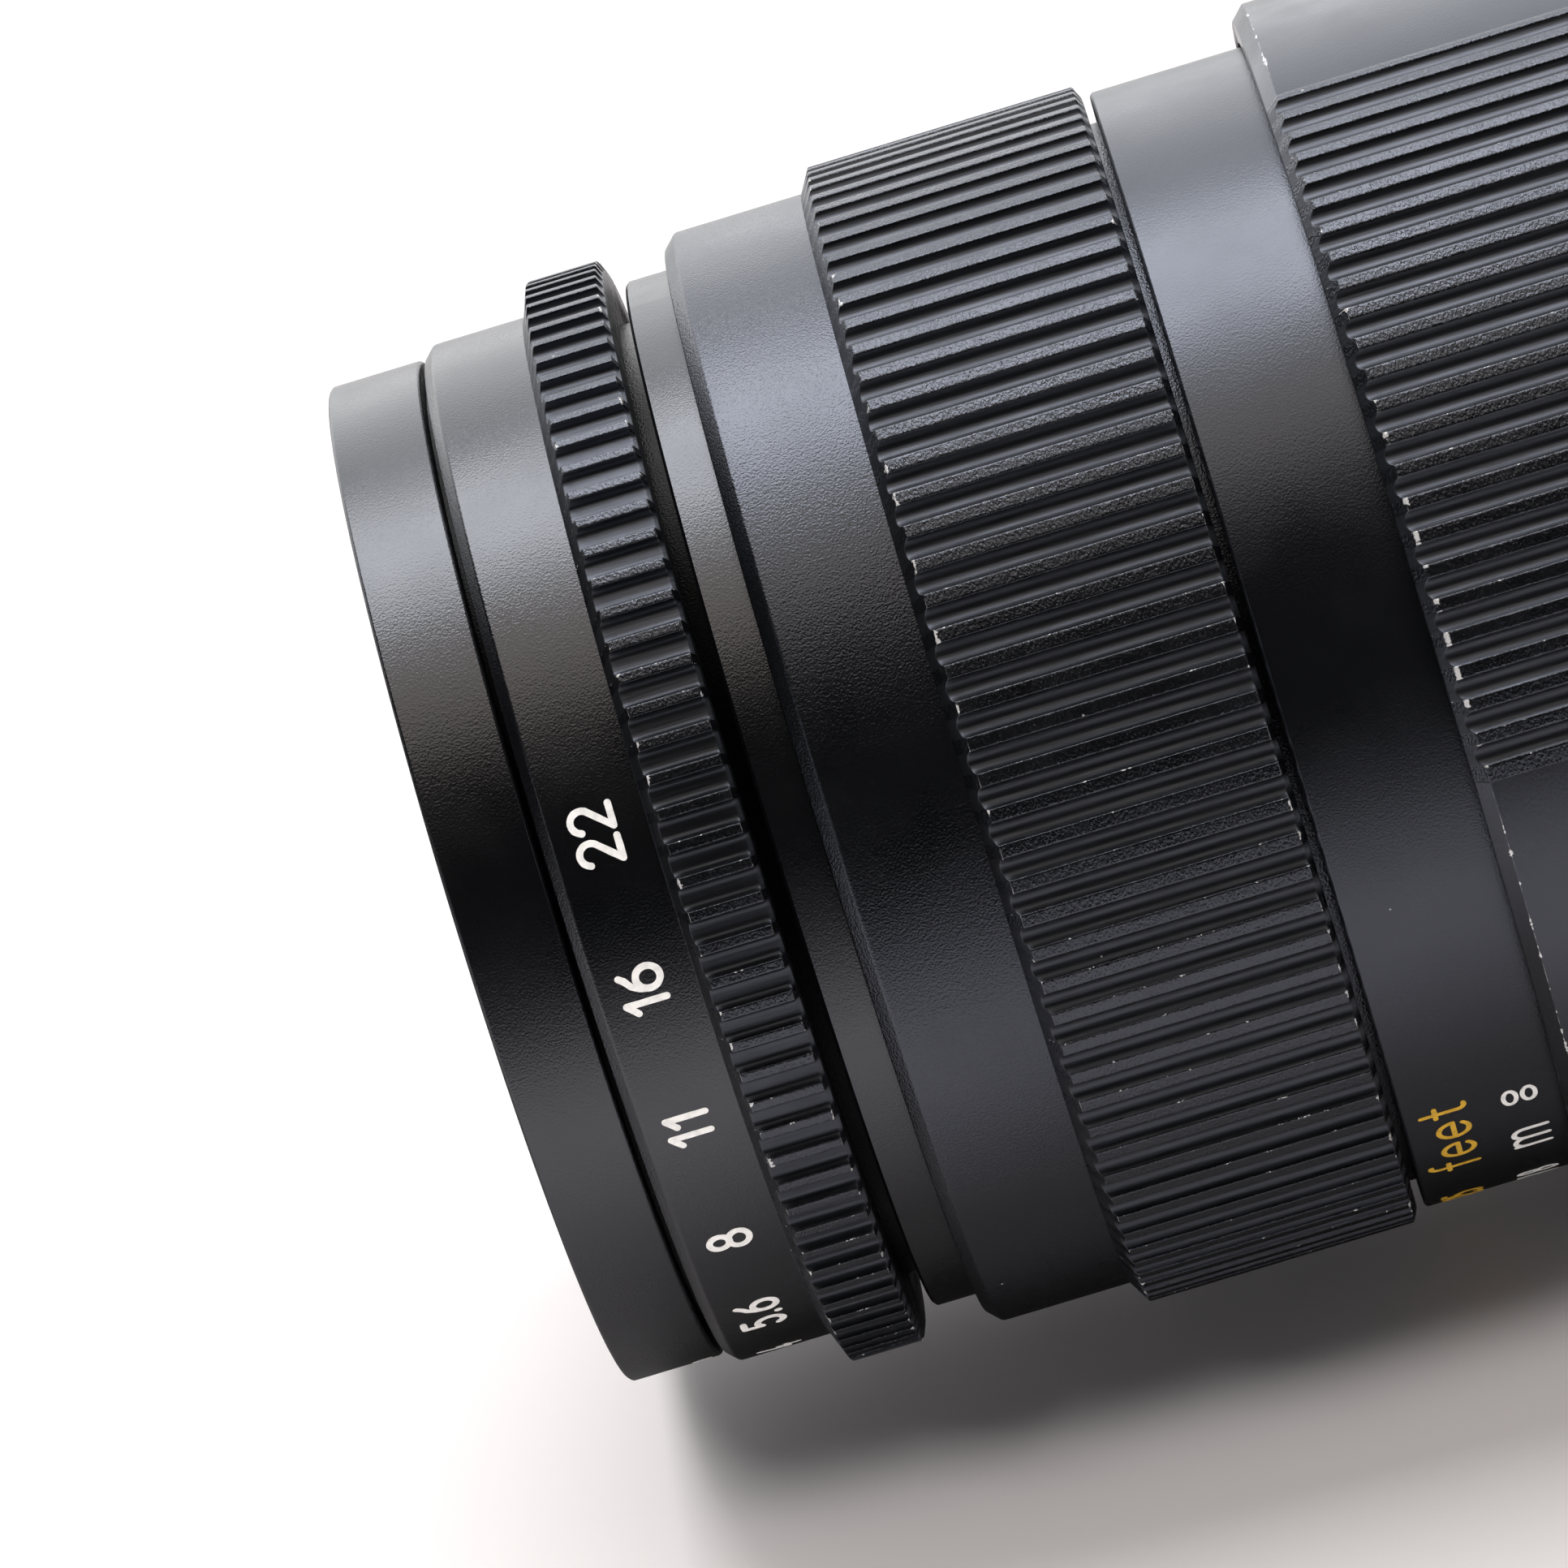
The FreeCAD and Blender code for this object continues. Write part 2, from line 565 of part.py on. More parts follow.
def primitive(kind, name, sizes, x=None, y=None, z=None, rotation=None):
    """A Part primitive whose sizes and position are bound to the sheet."""
    item = doc.addObject("Part::" + kind, name)
    for path, size in sizes.items():
        setattr(item, path, size.value)
        bind(item, path, size)
    if rotation is not None:
        item.Placement = FreeCAD.Placement(FreeCAD.Vector(), rotation)
    for path, size in (("x", x), ("y", y), ("z", z)):
        if size is not None:
            bind(item, "Placement.Base." + path, size)
    return item


def boolean(kind, name, base, tool):
    item = doc.addObject("Part::" + kind, name)
    item.Base = base
    item.Tool = tool
    return item


ALONG_X = FreeCAD.Rotation(FreeCAD.Vector(0, 1, 0), 90)


def disc(name, radius, start, end):
    """A plain cylinder about the axis between two stations."""
    return primitive("Cylinder", name, {"Radius": radius, "Height": end - start}, x=start, rotation=ALONG_X)


def ball(name, radius, x, y=None, z=None):
    return primitive("Sphere", name, {"Radius": radius}, x=x, y=y, z=z)


# Optical elements. A convex curve bulges forward on a front face and backward on a rear face.

def rise(curve, half):
    """How far a spherical face bulges, or a hollow one sinks, over a radius."""
    return curve - root(curve * curve - half * half)


def glass(name, radius, edge_front, edge_rear, front_curve, front_convex, rear_curve=None,
          rear_convex=False, front_layer=None):
    """One lens element: a disc bounded by two spheres, or by a sphere and a plane."""
    margin = s.first_edge / 2
    blank_front = edge_front
    blank_rear = edge_rear
    if front_convex:
        blank_front = edge_front - rise(front_curve, radius) - margin
    if rear_convex:
        blank_rear = edge_rear + rise(rear_curve, radius) + margin
    item = disc(name + "_blank", radius, blank_front, blank_rear)
    if front_convex:
        tool = ball(name + "_front", front_curve, edge_front + front_curve - rise(front_curve, radius))
        item = boolean("Common", name + "_front_ground", item, tool)
    elif front_layer is not None:
        tool = ball(name + "_front", front_curve + front_layer,
                    edge_front - front_curve + rise(front_curve, radius))
        item = boolean("Cut", name + "_front_ground", item, tool)
    else:
        tool = ball(name + "_front", front_curve,
                    edge_front - front_curve + rise(front_curve, radius - s.glass_flat))
        item = boolean("Cut", name + "_front_ground", item, tool)
    if rear_curve is not None:
        if rear_convex:
            tool = ball(name + "_rear", rear_curve, edge_rear - rear_curve + rise(rear_curve, radius))
            item = boolean("Common", name + "_rear_ground", item, tool)
        else:
            tool = ball(name + "_rear", rear_curve,
                        edge_rear + rear_curve - rise(rear_curve, radius - s.glass_flat))
            item = boolean("Cut", name + "_rear_ground", item, tool)
    keep(item, name)


def seat_drop(curve, outer, inner):
    """How far a bulging glass face rises from one radius to a smaller one."""
    return rise(curve, outer) - rise(curve, inner)


def make_front_optics():
    glass_radius = s.front_glass_radius
    bulge = rise(s.second_front_curve, glass_radius)
    hollow = rise(s.first_rear_curve, glass_radius - s.glass_flat)
    spacer = largest(s.spacer_length, bulge - hollow + s.least_air)
    seat = cell_rear - s.cell_seat_length
    third_front = seat - s.third_edge
    spacer_rear = third_front - s.second_edge
    ring_front = spacer_rear - spacer
    first_front = ring_front - s.first_edge
    keep(turned("front_cell", cell_front, [
        (cell_front, cell_bore), (cell_front, cell_radius), (cell_rear, cell_radius),
        (cell_rear, cell_seat_bore), (seat, cell_seat_bore), (seat, cell_bore)]))
    glass("lens_element_1", glass_radius, first_front, ring_front, s.first_front_curve, True,
          s.first_rear_curve, False)
    spacer_drop = seat_drop(s.second_front_curve, glass_radius, element_ring_bore)
    keep(turned("element_spacer", ring_front, [
        (ring_front, element_ring_bore), (ring_front, glass_radius),
        (spacer_rear - s.cement_gap, glass_radius),
        (spacer_rear - s.cement_gap - spacer_drop, element_ring_bore)]))
    glass("lens_element_2", glass_radius, spacer_rear, third_front, s.second_front_curve, True,
          s.bond_curve, True)
    glass("lens_element_3", glass_radius, third_front, seat, s.bond_curve, False,
          front_layer=s.cement_gap)
    retainer_rear = first_front - s.cement_gap
    retainer_front = retainer_rear - s.retainer_length
    retainer_drop = seat_drop(s.first_front_curve, glass_radius, element_ring_bore)
    keep(turned("front_retaining_ring", retainer_front, [
        (retainer_front, cell_bore - s.edge_break), (retainer_front + s.edge_break, cell_bore),
        (retainer_rear, cell_bore), (retainer_rear, glass_radius),
        (retainer_rear - retainer_drop, element_ring_bore),
        (retainer_front, element_ring_bore + s.glass_flat)]))


def make_rear_optics():
    flange_rear = seat_rear + s.rear_cell_flange
    cell_end = seat_rear + s.rear_cell_length
    retainer_rear = cell_end
    fifth_rear = retainer_rear - s.retainer_length
    bond = fifth_rear - s.fifth_edge
    fourth_front = bond - s.fourth_edge
    seat = fourth_front - s.rear_cell_seat_length
    keep(turned("rear_cell", seat_rear, [
        (seat_rear, rear_cell_bore), (seat_rear, tube_radius), (flange_rear, tube_radius),
        (flange_rear, rear_cell_radius), (cell_end, rear_cell_radius), (cell_end, rear_cell_bore),
        (fourth_front, rear_cell_bore), (fourth_front, rear_cell_seat_bore),
        (seat, rear_cell_seat_bore), (seat, rear_cell_bore)]))
    glass("lens_element_4", s.rear_glass_radius, fourth_front, bond, s.fourth_front_curve, False,
          s.rear_bond_curve, True)
    glass("lens_element_5", s.rear_glass_radius, bond, fifth_rear, s.rear_bond_curve, False,
          s.fifth_rear_curve, True, front_layer=s.cement_gap)
    ring_front = fifth_rear + s.cement_gap
    drop = seat_drop(s.fifth_rear_curve, s.rear_glass_radius, rear_cell_seat_bore)
    keep(turned("rear_retaining_ring", ring_front, [
        (ring_front + drop, rear_cell_seat_bore), (ring_front, s.rear_glass_radius),
        (ring_front, rear_cell_bore), (retainer_rear, rear_cell_bore),
        (retainer_rear, rear_cell_seat_bore)]))
    return flange_rear


# The head: everything that slides straight out when the lens is focused.

def make_front_rim():
    spigot_rear = rim_rear + s.rim_spigot_length
    keep(turned("front_rim", front, [
        (front, s.filter_radius + s.filter_lead), (front, rim_radius - s.edge_break),
        (front + s.edge_break, rim_radius), (rim_rear - s.edge_break, rim_radius),
        (rim_rear, rim_radius - s.edge_break), (rim_rear, barrel_tube_bore),
        (spigot_rear, barrel_tube_bore), (spigot_rear, cell_radius), (cell_front, cell_radius),
        (cell_front, s.filter_radius), (front + s.filter_lead, s.filter_radius)]))


def make_head_barrel():
    """The non-turning barrel: tube under the aperture ring, neck, and the seat of the focus carrier."""
    neck_rear = collar_front - s.face_gap
    start = rim_rear
    body = turned("head_barrel", start, [
        (start, barrel_tube_bore), (start, barrel_tube_radius), (neck_front, barrel_tube_radius),
        (neck_front, neck_radius - s.edge_break), (neck_front + s.edge_break, neck_radius),
        (neck_rear, neck_radius), (neck_rear, bearing_radius), (head_shoulder, bearing_radius),
        (head_shoulder, lock_thread_radius), (head_rear, lock_thread_radius),
        (head_rear, tube_radius), (seat_rear, tube_radius), (seat_rear, seat_bore),
        (seat_front, seat_bore), (seat_front, barrel_tube_bore)], turn=head_turn)
    before = volume(body)
    station = drive_screw_station - start
    half = s.drive_screw_radius + s.running
    sketch = new_sketch(body, "drive_slot_outline", "XY_Plane")
    rectangle(sketch, station - half, station + half, barrel_tube_bore - half,
              barrel_tube_radius + half)
    slot = body.newObject("PartDesign::Groove", "drive_slot")
    slot.Profile = sketch
    slot.ReferenceAxis = (sketch, ["H_Axis"])
    sweep = s.aperture_turn + s.slot_margin * 2
    slot.Angle = sweep.value
    bind(slot, "Angle", sweep)
    body.Tip = slot
    check_cut(body, before)
    axial_hole(body, "click_hole", click_place, s.click_ball_radius + s.running, neck_front - start,
               s.click_hole_depth, turn=s.click_angle)
    keep(body)


def make_focus_lock_ring():
    start = lock_ring_front
    rear = start + s.lock_ring_length
    outer = carrier_bore - s.sleeve_gap
    keep(turned("focus_lock_ring", start, [
        (start, lock_thread_radius), (start, outer), (rear, outer), (rear, lock_thread_radius)]))


def make_guide_tube(start):
    """The straight-guided tube behind the head barrel, slotted for the guide key."""
    body = turned("guide_tube", start, [
        (start, tube_bore), (start, tube_radius), (tube_rear, tube_radius), (tube_rear, tube_bore)],
        turn=barrel_turn)
    before = volume(body)
    low = key_start - rest_travel - s.cam_web - start
    sketch = new_sketch(body, "guide_slot_outline", "XY_Plane", offset=tube_bore - s.running)
    half = s.key_width / 2 + s.running
    rectangle(sketch, low, tube_rear - start + half, half * -1, half)
    pocket(body, sketch, "guide_slot", tube_radius)
    check_cut(body, before)
    keep(body)
    baffle_rear = tube_rear - s.baffle_length
    baffle_front = baffle_rear - s.baffle_length
    keep(turned("tube_baffle", baffle_front, [
        (baffle_front, baffle_bore), (baffle_front, tube_bore), (baffle_rear, tube_bore),
        (baffle_rear, baffle_bore + s.sleeve_gap)]))


def make_iris():
    """Base plate with the pivots, ten blades each in its own layer, and the slotted drive sleeve."""
    plate = turned("iris_base_plate", cell_rear, [
        (cell_rear, base_plate_bore), (cell_rear, cell_radius), (iris_plate_rear, cell_radius),
        (iris_plate_rear, base_plate_bore)])
    axial_hole(plate, "pivot_holes", pivot_radius, s.pin_radius + s.running, None,
               s.base_plate_thickness, count=BLADES)
    keep(plate)
    for number in range(BLADES):
        make_blade(number)
    sleeve = turned("iris_drive_sleeve", drive_front, [
        (drive_front, drive_bore), (drive_front, drive_radius), (drive_rear, drive_radius),
        (drive_rear, drive_plate_bore), (drive_plate_front, drive_plate_bore),
        (drive_plate_front, drive_bore)])
    before = volume(sleeve)
    sketch = new_sketch(sleeve, "blade_slot_outline", "YZ_Plane", offset=drive_plate_front - drive_front)
    half = s.drive_slot_width / 2
    rectangle(sketch, half * -1, half, drive_plate_bore + half, pivot_radius + half)
    cut = pocket(sleeve, sketch, "blade_slot", s.drive_plate)
    polar(sleeve, "blade_slots", [cut], BLADES)
    check_cut(sleeve, before)
    screw_station = drive_screw_station - drive_front
    radial_hole(sleeve, "drive_screw_hole", screw_station, s.drive_screw_radius, drive_bore - s.running,
                drive_radius - drive_bore + s.running * 2)
    keep(sleeve)


def make_blade(number):
    """One crescent blade with an ear and a pivot pin that reaches the base plate."""
    name = "iris_blade_%02d" % (number + 1)
    angle = 360.0 / BLADES * number
    layer = iris_plate_rear + s.blade_pitch + s.blade_pitch * number
    spin = FreeCAD.Rotation(FreeCAD.Vector(1, 0, 0), angle)
    start = FreeCAD.Rotation(FreeCAD.Vector(1, 0, 0), angle - s.blade_heel.value)
    y = pivot_radius * -math.sin(math.radians(angle))
    z = pivot_radius * math.cos(math.radians(angle))
    upright = FreeCAD.Rotation(FreeCAD.Vector(0, 1, 0), 90)
    turned_up = FreeCAD.Rotation(FreeCAD.Vector(1, 0, 0), 180)
    sector = primitive("Cylinder", name + "_sector", {"Radius": blade_outer, "Height": s.blade_thickness},
                       x=layer, rotation=start.multiply(turned_up).multiply(upright))
    bind(sector, "Angle", s.blade_span)
    hole = primitive("Cylinder", name + "_opening", {"Radius": blade_inner, "Height": s.blade_thickness},
                     x=layer, rotation=spin.multiply(upright))
    crescent = boolean("Cut", name + "_crescent", sector, hole)
    ear = primitive("Cylinder", name + "_ear", {"Radius": s.ear_radius, "Height": s.blade_thickness},
                    x=layer, y=y, z=z, rotation=upright)
    pin_front = iris_plate_rear - s.base_plate_thickness + s.running
    pin = primitive("Cylinder", name + "_pin", {"Radius": s.pin_radius, "Height": layer - pin_front},
                    x=pin_front, y=y, z=z, rotation=upright)
    keep(boolean("Fuse", name, boolean("Fuse", name + "_body", crescent, ear), pin), name)


def make_click():
    """Ball and coil spring in the neck, which press on the notches of the aperture ring."""
    sine = math.sin(math.radians(click_turn.value))
    cosine = math.cos(math.radians(click_turn.value))
    y = click_place * -sine
    z = click_place * cosine
    ball_x = neck_front - s.click_ball_place
    keep(ball("click_ball", s.click_ball_radius, ball_x, y, z), "click_ball")
    half = s.click_wire.value / 2
    start = (ball_x + s.click_ball_radius).value + half
    end = (neck_front + s.click_hole_depth - s.running).value - half
    coil = s.click_ball_radius.value - half
    helix = Part.makeHelix((end - start) / s.click_coils.value, end - start, coil)
    corners = [(-half, -half), (half, -half), (half, half), (-half, half), (-half, -half)]
    section = Part.makePolygon([FreeCAD.Vector(coil + across, 0, along) for across, along in corners])
    spring = doc.addObject("Part::Feature", "click_spring")
    spring.Shape = Part.Wire(helix.Edges).makePipeShell([section], True, True)
    spring.Placement = FreeCAD.Placement(FreeCAD.Vector(start, y.value, z.value), ALONG_X)
    keep(spring, "click_spring")


# The aperture ring and its drive screw turn together with the iris drive sleeve.

def make_aperture_ring():
    start = aperture_front
    body = turned("aperture_ring", start, [
        (start, aperture_bore), (start, aperture_band_radius - s.aperture_chamfer),
        (start + s.aperture_chamfer, aperture_band_radius), (knurl_front, aperture_band_radius),
        (knurl_front + s.knurl_shoulder, knurl_radius),
        (knurl_rear - s.knurl_rear_chamfer, knurl_radius),
        (knurl_rear, knurl_radius - s.knurl_rear_drop), (knurl_rear, aperture_bore)])
    ring_length = s.aperture_band_length + s.knurl_length
    cut_ribs(body, "aperture_ribs", knurl_radius, s.knurl_depth, s.knurl_mouth, s.knurl_floor,
             ring_length, s.knurl_count)
    before = volume(body)
    sketch = new_sketch(body, "click_groove_outline", "XY_Plane")
    half = s.click_groove_width / 2
    rectangle(sketch, ring_length - s.click_groove_depth, ring_length + s.running,
              click_place - half, click_place + half)
    groove = body.newObject("PartDesign::Groove", "click_groove")
    groove.Profile = sketch
    groove.ReferenceAxis = (sketch, ["H_Axis"])
    groove.Angle = 360
    body.Tip = groove
    check_cut(body, before)
    axial_hole(body, "click_notches", click_place, s.click_notch_radius,
               ring_length - s.click_groove_depth - s.click_notch_depth, s.click_notch_depth, count=CLICKS,
               turn=click_turn - s.aperture_turn, angle=s.aperture_turn)
    radial_hole(body, "ring_screw_hole", s.drive_screw_place, s.drive_screw_radius,
                aperture_bore - s.running, knurl_radius - s.knurl_depth - aperture_bore)
    keep(body)
    top = knurl_radius - s.knurl_depth - s.sleeve_gap
    screw = primitive("Cylinder", "aperture_drive_screw",
                      {"Radius": s.drive_screw_radius, "Height": top - drive_bore},
                      x=drive_screw_station, z=drive_bore)
    keep(screw, "aperture_drive_screw")


# The focusing ring assembly: it turns on the head and travels with it.

def make_focus_parts():
    start = collar_front
    carrier = turned("focus_carrier", start, [
        (start, carrier_bore), (start, collar_radius - s.collar_chamfer),
        (start + s.collar_chamfer, collar_radius), (grip_front, collar_radius),
        (grip_front, carrier_radius), (carrier_rear, carrier_radius), (carrier_rear, carrier_bore),
        (lip_rear, carrier_bore), (lip_rear, lip_radius), (lip_front, lip_radius),
        (lip_front, carrier_bore)])
    axial_hole(carrier, "helicoid_screw_holes", middle_of_carrier(), s.helicoid_screw_radius,
               carrier_rear - start - s.helicoid_screw_length, s.helicoid_screw_length, count=RING_SCREWS)
    keep(carrier)
    grip = turned("focus_grip", grip_front, [
        (grip_front, carrier_radius), (grip_front, collar_radius),
        (grip_front + s.grip_front_cone, grip_radius), (grip_rear - s.grip_rear_cone, grip_radius),
        (grip_rear, grip_radius - s.grip_rear_drop), (grip_rear, carrier_radius)])
    cut_ribs(grip, "focus_ribs", grip_radius, s.grip_depth, s.grip_mouth, s.grip_floor, s.grip_length,
             s.grip_count)
    keep(grip)
    keep(turned("distance_scale_sleeve", scale_front, [
        (scale_front, carrier_radius), (scale_front, scale_radius - s.edge_break),
        (scale_front + s.edge_break, scale_radius), (scale_rear, scale_radius),
        (scale_rear, scale_bore), (carrier_rear, scale_bore), (carrier_rear, carrier_radius)]))
    make_focus_helicoid()


def middle_of_carrier():
    return (carrier_bore + carrier_radius) / 2


def make_focus_helicoid():
    start = carrier_rear
    body = turned("focus_helicoid", start, [
        (start, helicoid_bore), (start, carrier_radius), (helicoid_tube, carrier_radius),
        (helicoid_tube, helicoid_radius), (helicoid_end, helicoid_radius),
        (helicoid_end, helicoid_bore)])
    place = middle_of_carrier()
    axial_hole(body, "helicoid_holes", place, s.helicoid_screw_radius, None, s.helicoid_flange,
               count=RING_SCREWS)
    head_depth = s.helicoid_flange / 2
    axial_hole(body, "helicoid_counterbores", place, s.helicoid_screw_head, head_depth, head_depth,
               count=RING_SCREWS)
    make_stop_lug(body)
    keep(body)
    screws = []
    for number in range(RING_SCREWS):
        screws.append(axial_screw(
            "helicoid_screw_%d" % number, helicoid_tube, place, 360.0 / RING_SCREWS * number,
            s.helicoid_screw_head, head_depth, s.helicoid_screw_radius,
            s.helicoid_screw_length + head_depth))
    group("helicoid_screws", screws)


def make_stop_lug(body):
    """A lug on the helicoid's flange that meets the fixed stop at infinity."""
    sketch = new_sketch(body, "stop_lug_outline", "XY_Plane")
    rear = s.helicoid_flange + s.stop_length
    rectangle(sketch, s.helicoid_flange, rear, helicoid_radius, carrier_radius)
    lug = body.newObject("PartDesign::Revolution", "stop_lug")
    lug.Profile = sketch
    lug.ReferenceAxis = (sketch, ["H_Axis"])
    lug.Angle = s.stop_angle.value
    bind(lug, "Angle", s.stop_angle)
    body.Tip = lug


def axial_screw(name, head_face, place, angle, head_radius, head_height, shank_radius, shank_length,
                slot_width=None):
    """A screw whose head face looks to +X, at a distance from the axis."""
    y = place * -math.sin(math.radians(angle))
    z = place * math.cos(math.radians(angle))
    head = primitive("Cylinder", name + "_head", {"Radius": head_radius, "Height": head_height},
                     x=head_face - head_height, y=y, z=z, rotation=ALONG_X)
    shank = primitive("Cylinder", name + "_shank", {"Radius": shank_radius, "Height": shank_length},
                      x=head_face - head_height - shank_length, y=y, z=z, rotation=ALONG_X)
    screw = boolean("Fuse", name, head, shank)
    if slot_width is not None:
        slot = slot_box(name, head_face, place, angle, head_radius, slot_width)
        screw = boolean("Cut", name + "_slotted", screw, slot)
    return screw


def slot_box(name, head_face, place, angle, head_radius, slot_width):
    """The driver slot of an axial screw, along the radius."""
    spin = FreeCAD.Rotation(FreeCAD.Vector(1, 0, 0), angle)
    corner_y = slot_width * -0.5
    corner_z = place - head_radius * 1.5
    cosine = math.cos(math.radians(angle))
    sine = math.sin(math.radians(angle))
    return primitive("Box", name + "_slot", {"Length": slot_width, "Width": slot_width,
                                             "Height": head_radius * 3},
                     x=head_face - slot_width, y=corner_y * cosine - corner_z * sine,
                     z=corner_y * sine + corner_z * cosine, rotation=spin)


def group(name, items):
    """Identical fasteners kept as one sub-part of separate solids."""
    compound = doc.addObject("Part::Compound", name)
    compound.Links = items
    keep(compound, name)


# The fixed rear body with the mount.

def make_rear_barrel():
    start = barrel_front
    chamfered = start + s.barrel_chamfer
    ribs_end = start + s.barrel_rib_length
    waist_front = ribs_end + s.waist_drop
    flare = base_front - s.barrel_flare
    body = turned("rear_barrel", start, [
        (start, barrel_bore), (start, barrel_radius - s.barrel_chamfer), (chamfered, barrel_radius),
        (ribs_end, barrel_radius), (waist_front, waist_radius), (flare, waist_radius),
        (base_front, flare_radius), (base_front, barrel_bore)], turn=barrel_turn)
    half_field = s.barrel_groove_pitch * (s.barrel_groove_count - 1) / 2
    span = half_field * 2
    for name, turn in (("upper_ribs", (s.field_offset + half_field) * -1),
                       ("lower_ribs", s.field_offset - half_field)):
        cut_ribs(body, name, barrel_radius, s.barrel_groove_depth, s.barrel_groove_mouth,
                 s.barrel_groove_floor, s.barrel_rib_length + s.barrel_chamfer, s.barrel_groove_count,
                 turn=turn, angle=span)
    screw_station = fixed_seat_start + s.fixed_flange_length / 2
    radial_hole(body, "barrel_screw_holes", screw_station - start, s.barrel_screw_radius,
                barrel_bore - s.running, barrel_radius - barrel_bore, count=RING_SCREWS)
    keep(body)
    screws = []
    for number in range(RING_SCREWS):
        screws.append(barrel_screw(number, screw_station))
    group("barrel_screws", screws)


def radial_pin(name, station, angle, low, top, radius):
    """A round pin along the radius at an angle from +Z."""
    sine = math.sin(math.radians(angle))
    cosine = math.cos(math.radians(angle))
    spin = FreeCAD.Rotation(FreeCAD.Vector(1, 0, 0), angle)
    return primitive("Cylinder", name, {"Radius": radius, "Height": top - low},
                     x=station, y=low * -sine, z=low * cosine, rotation=spin)


def barrel_screw(number, station):
    """A slotted set screw through the rear barrel's wall into the fixed helicoid's seat."""
    name = "barrel_screw_%d" % number
    angle = barrel_turn.value + 360.0 / RING_SCREWS * number
    top = waist_radius - s.edge_break
    pin = radial_pin(name, station, angle, barrel_bore - s.barrel_screw_radius, top, s.barrel_screw_radius)
    sine = math.sin(math.radians(angle))
    cosine = math.cos(math.radians(angle))
    width = s.screw_slot
    low = top - width
    half_length = s.barrel_screw_radius * 1.5
    slot = primitive("Box", name + "_slot",
                     {"Length": half_length * 2, "Width": width, "Height": width * 2},
                     x=station - half_length, y=width * (-0.5 * cosine) - low * sine,
                     z=width * (-0.5 * sine) + low * cosine,
                     rotation=FreeCAD.Rotation(FreeCAD.Vector(1, 0, 0), angle))
    return boolean("Cut", name + "_slotted", pin, slot)


def make_fixed_helicoid():
    """The brass sleeve in the rear barrel, whose bore carries the turning helicoid."""
    start = fixed_start
    body = turned("fixed_helicoid", start, [
        (start, fixed_bore), (start, fixed_radius), (fixed_seat_start, fixed_radius),
        (fixed_seat_start, barrel_bore), (fixed_seat_end, barrel_bore), (fixed_seat_end, fixed_radius),
        (fixed_rear, fixed_radius), (fixed_rear, fixed_bore)], turn=barrel_turn)
    for name, share in KEY_SCREWS:
        radial_hole(body, name + "_hole", key_start - start + s.key_length * share, s.key_screw_radius,
                    fixed_bore - s.running, fixed_radius - fixed_bore + s.sleeve_gap)
    radial_hole(body, "barrel_screw_seats", fixed_seat_start - start + s.fixed_flange_length / 2,
                s.barrel_screw_radius, barrel_bore - s.barrel_screw_radius, s.barrel_screw_radius * 2,
                count=RING_SCREWS)
    keep(body)


def make_guide_key():
    """The brass key that lets the head slide but not turn, and its two screws."""
    low = tube_bore + s.sleeve_gap
    top = fixed_bore - s.sleeve_gap
    half = s.key_width / 2
    body = new_body("guide_key", key_start, barrel_turn)
    sketch = new_sketch(body, "guide_key_outline", "XY_Plane", offset=low)
    rectangle(sketch, 0, s.key_length, half * -1, half)
    bar = body.newObject("PartDesign::Pad", "guide_key_bar")
    bar.Profile = sketch
    bar.Length = (top - low).value
    bind(bar, "Length", top - low)
    body.Tip = bar
    screw_low = (low + top) / 2
    for name, share in KEY_SCREWS:
        radial_hole(body, name + "_thread", s.key_length * share, s.key_screw_radius, screw_low, top - low)
    keep(body)
    screws = []
    for name, share in KEY_SCREWS:
        screws.append(radial_pin(name, key_start + s.key_length * share, barrel_turn.value, screw_low,
                                 fixed_radius, s.key_screw_radius))
    group("key_screws", screws)


def make_infinity_stop():
    """The block on the fixed helicoid's front end that the turning lug meets at infinity."""
    start = fixed_start - s.stop_length
    body = new_body("infinity_stop", start, turn=s.stop_angle + s.rest_turn + s.face_gap)
    sketch = new_sketch(body, "infinity_stop_outline", "XY_Plane")
    rectangle(sketch, 0, s.stop_length, fixed_bore, fixed_radius)
    block = body.newObject("PartDesign::Revolution", "infinity_stop_block")
    block.Profile = sketch
    block.ReferenceAxis = (sketch, ["H_Axis"])
    block.Angle = s.stop_angle.value
    bind(block, "Angle", s.stop_angle)
    body.Tip = block
    keep(body)


def make_base_ring():
    start = base_front - s.base_spigot_length
    body = turned("base_ring", start, [
        (start, base_spigot_bore), (start, barrel_bore), (base_front, barrel_bore),
        (base_front, base_radius - s.edge_break * 2), (base_front + s.edge_break * 2, base_radius),
        (mount_front - s.edge_break * 2, base_radius), (mount_front, base_radius - s.edge_break * 2),
        (mount_front, base_bore), (base_front, base_bore), (base_front, base_spigot_bore)],
        turn=bead_turn)
    length = s.base_length + s.base_spigot_length
    station = length - s.bead_place
    stem_low = base_radius - s.bead_sink - s.bead_stem
    radial_hole(body, "bead_hole", station, s.bead_radius, stem_low,
                s.bead_stem + s.bead_radius)
    axial_hole(body, "mount_screw_holes", mount_screw_radius, s.screw_shank_radius,
               length - s.screw_shank_length, s.screw_shank_length, count=MOUNT_SCREWS,
               turn=screw_turn - bead_turn)
    keep(body)
    make_bead(start + station, stem_low)


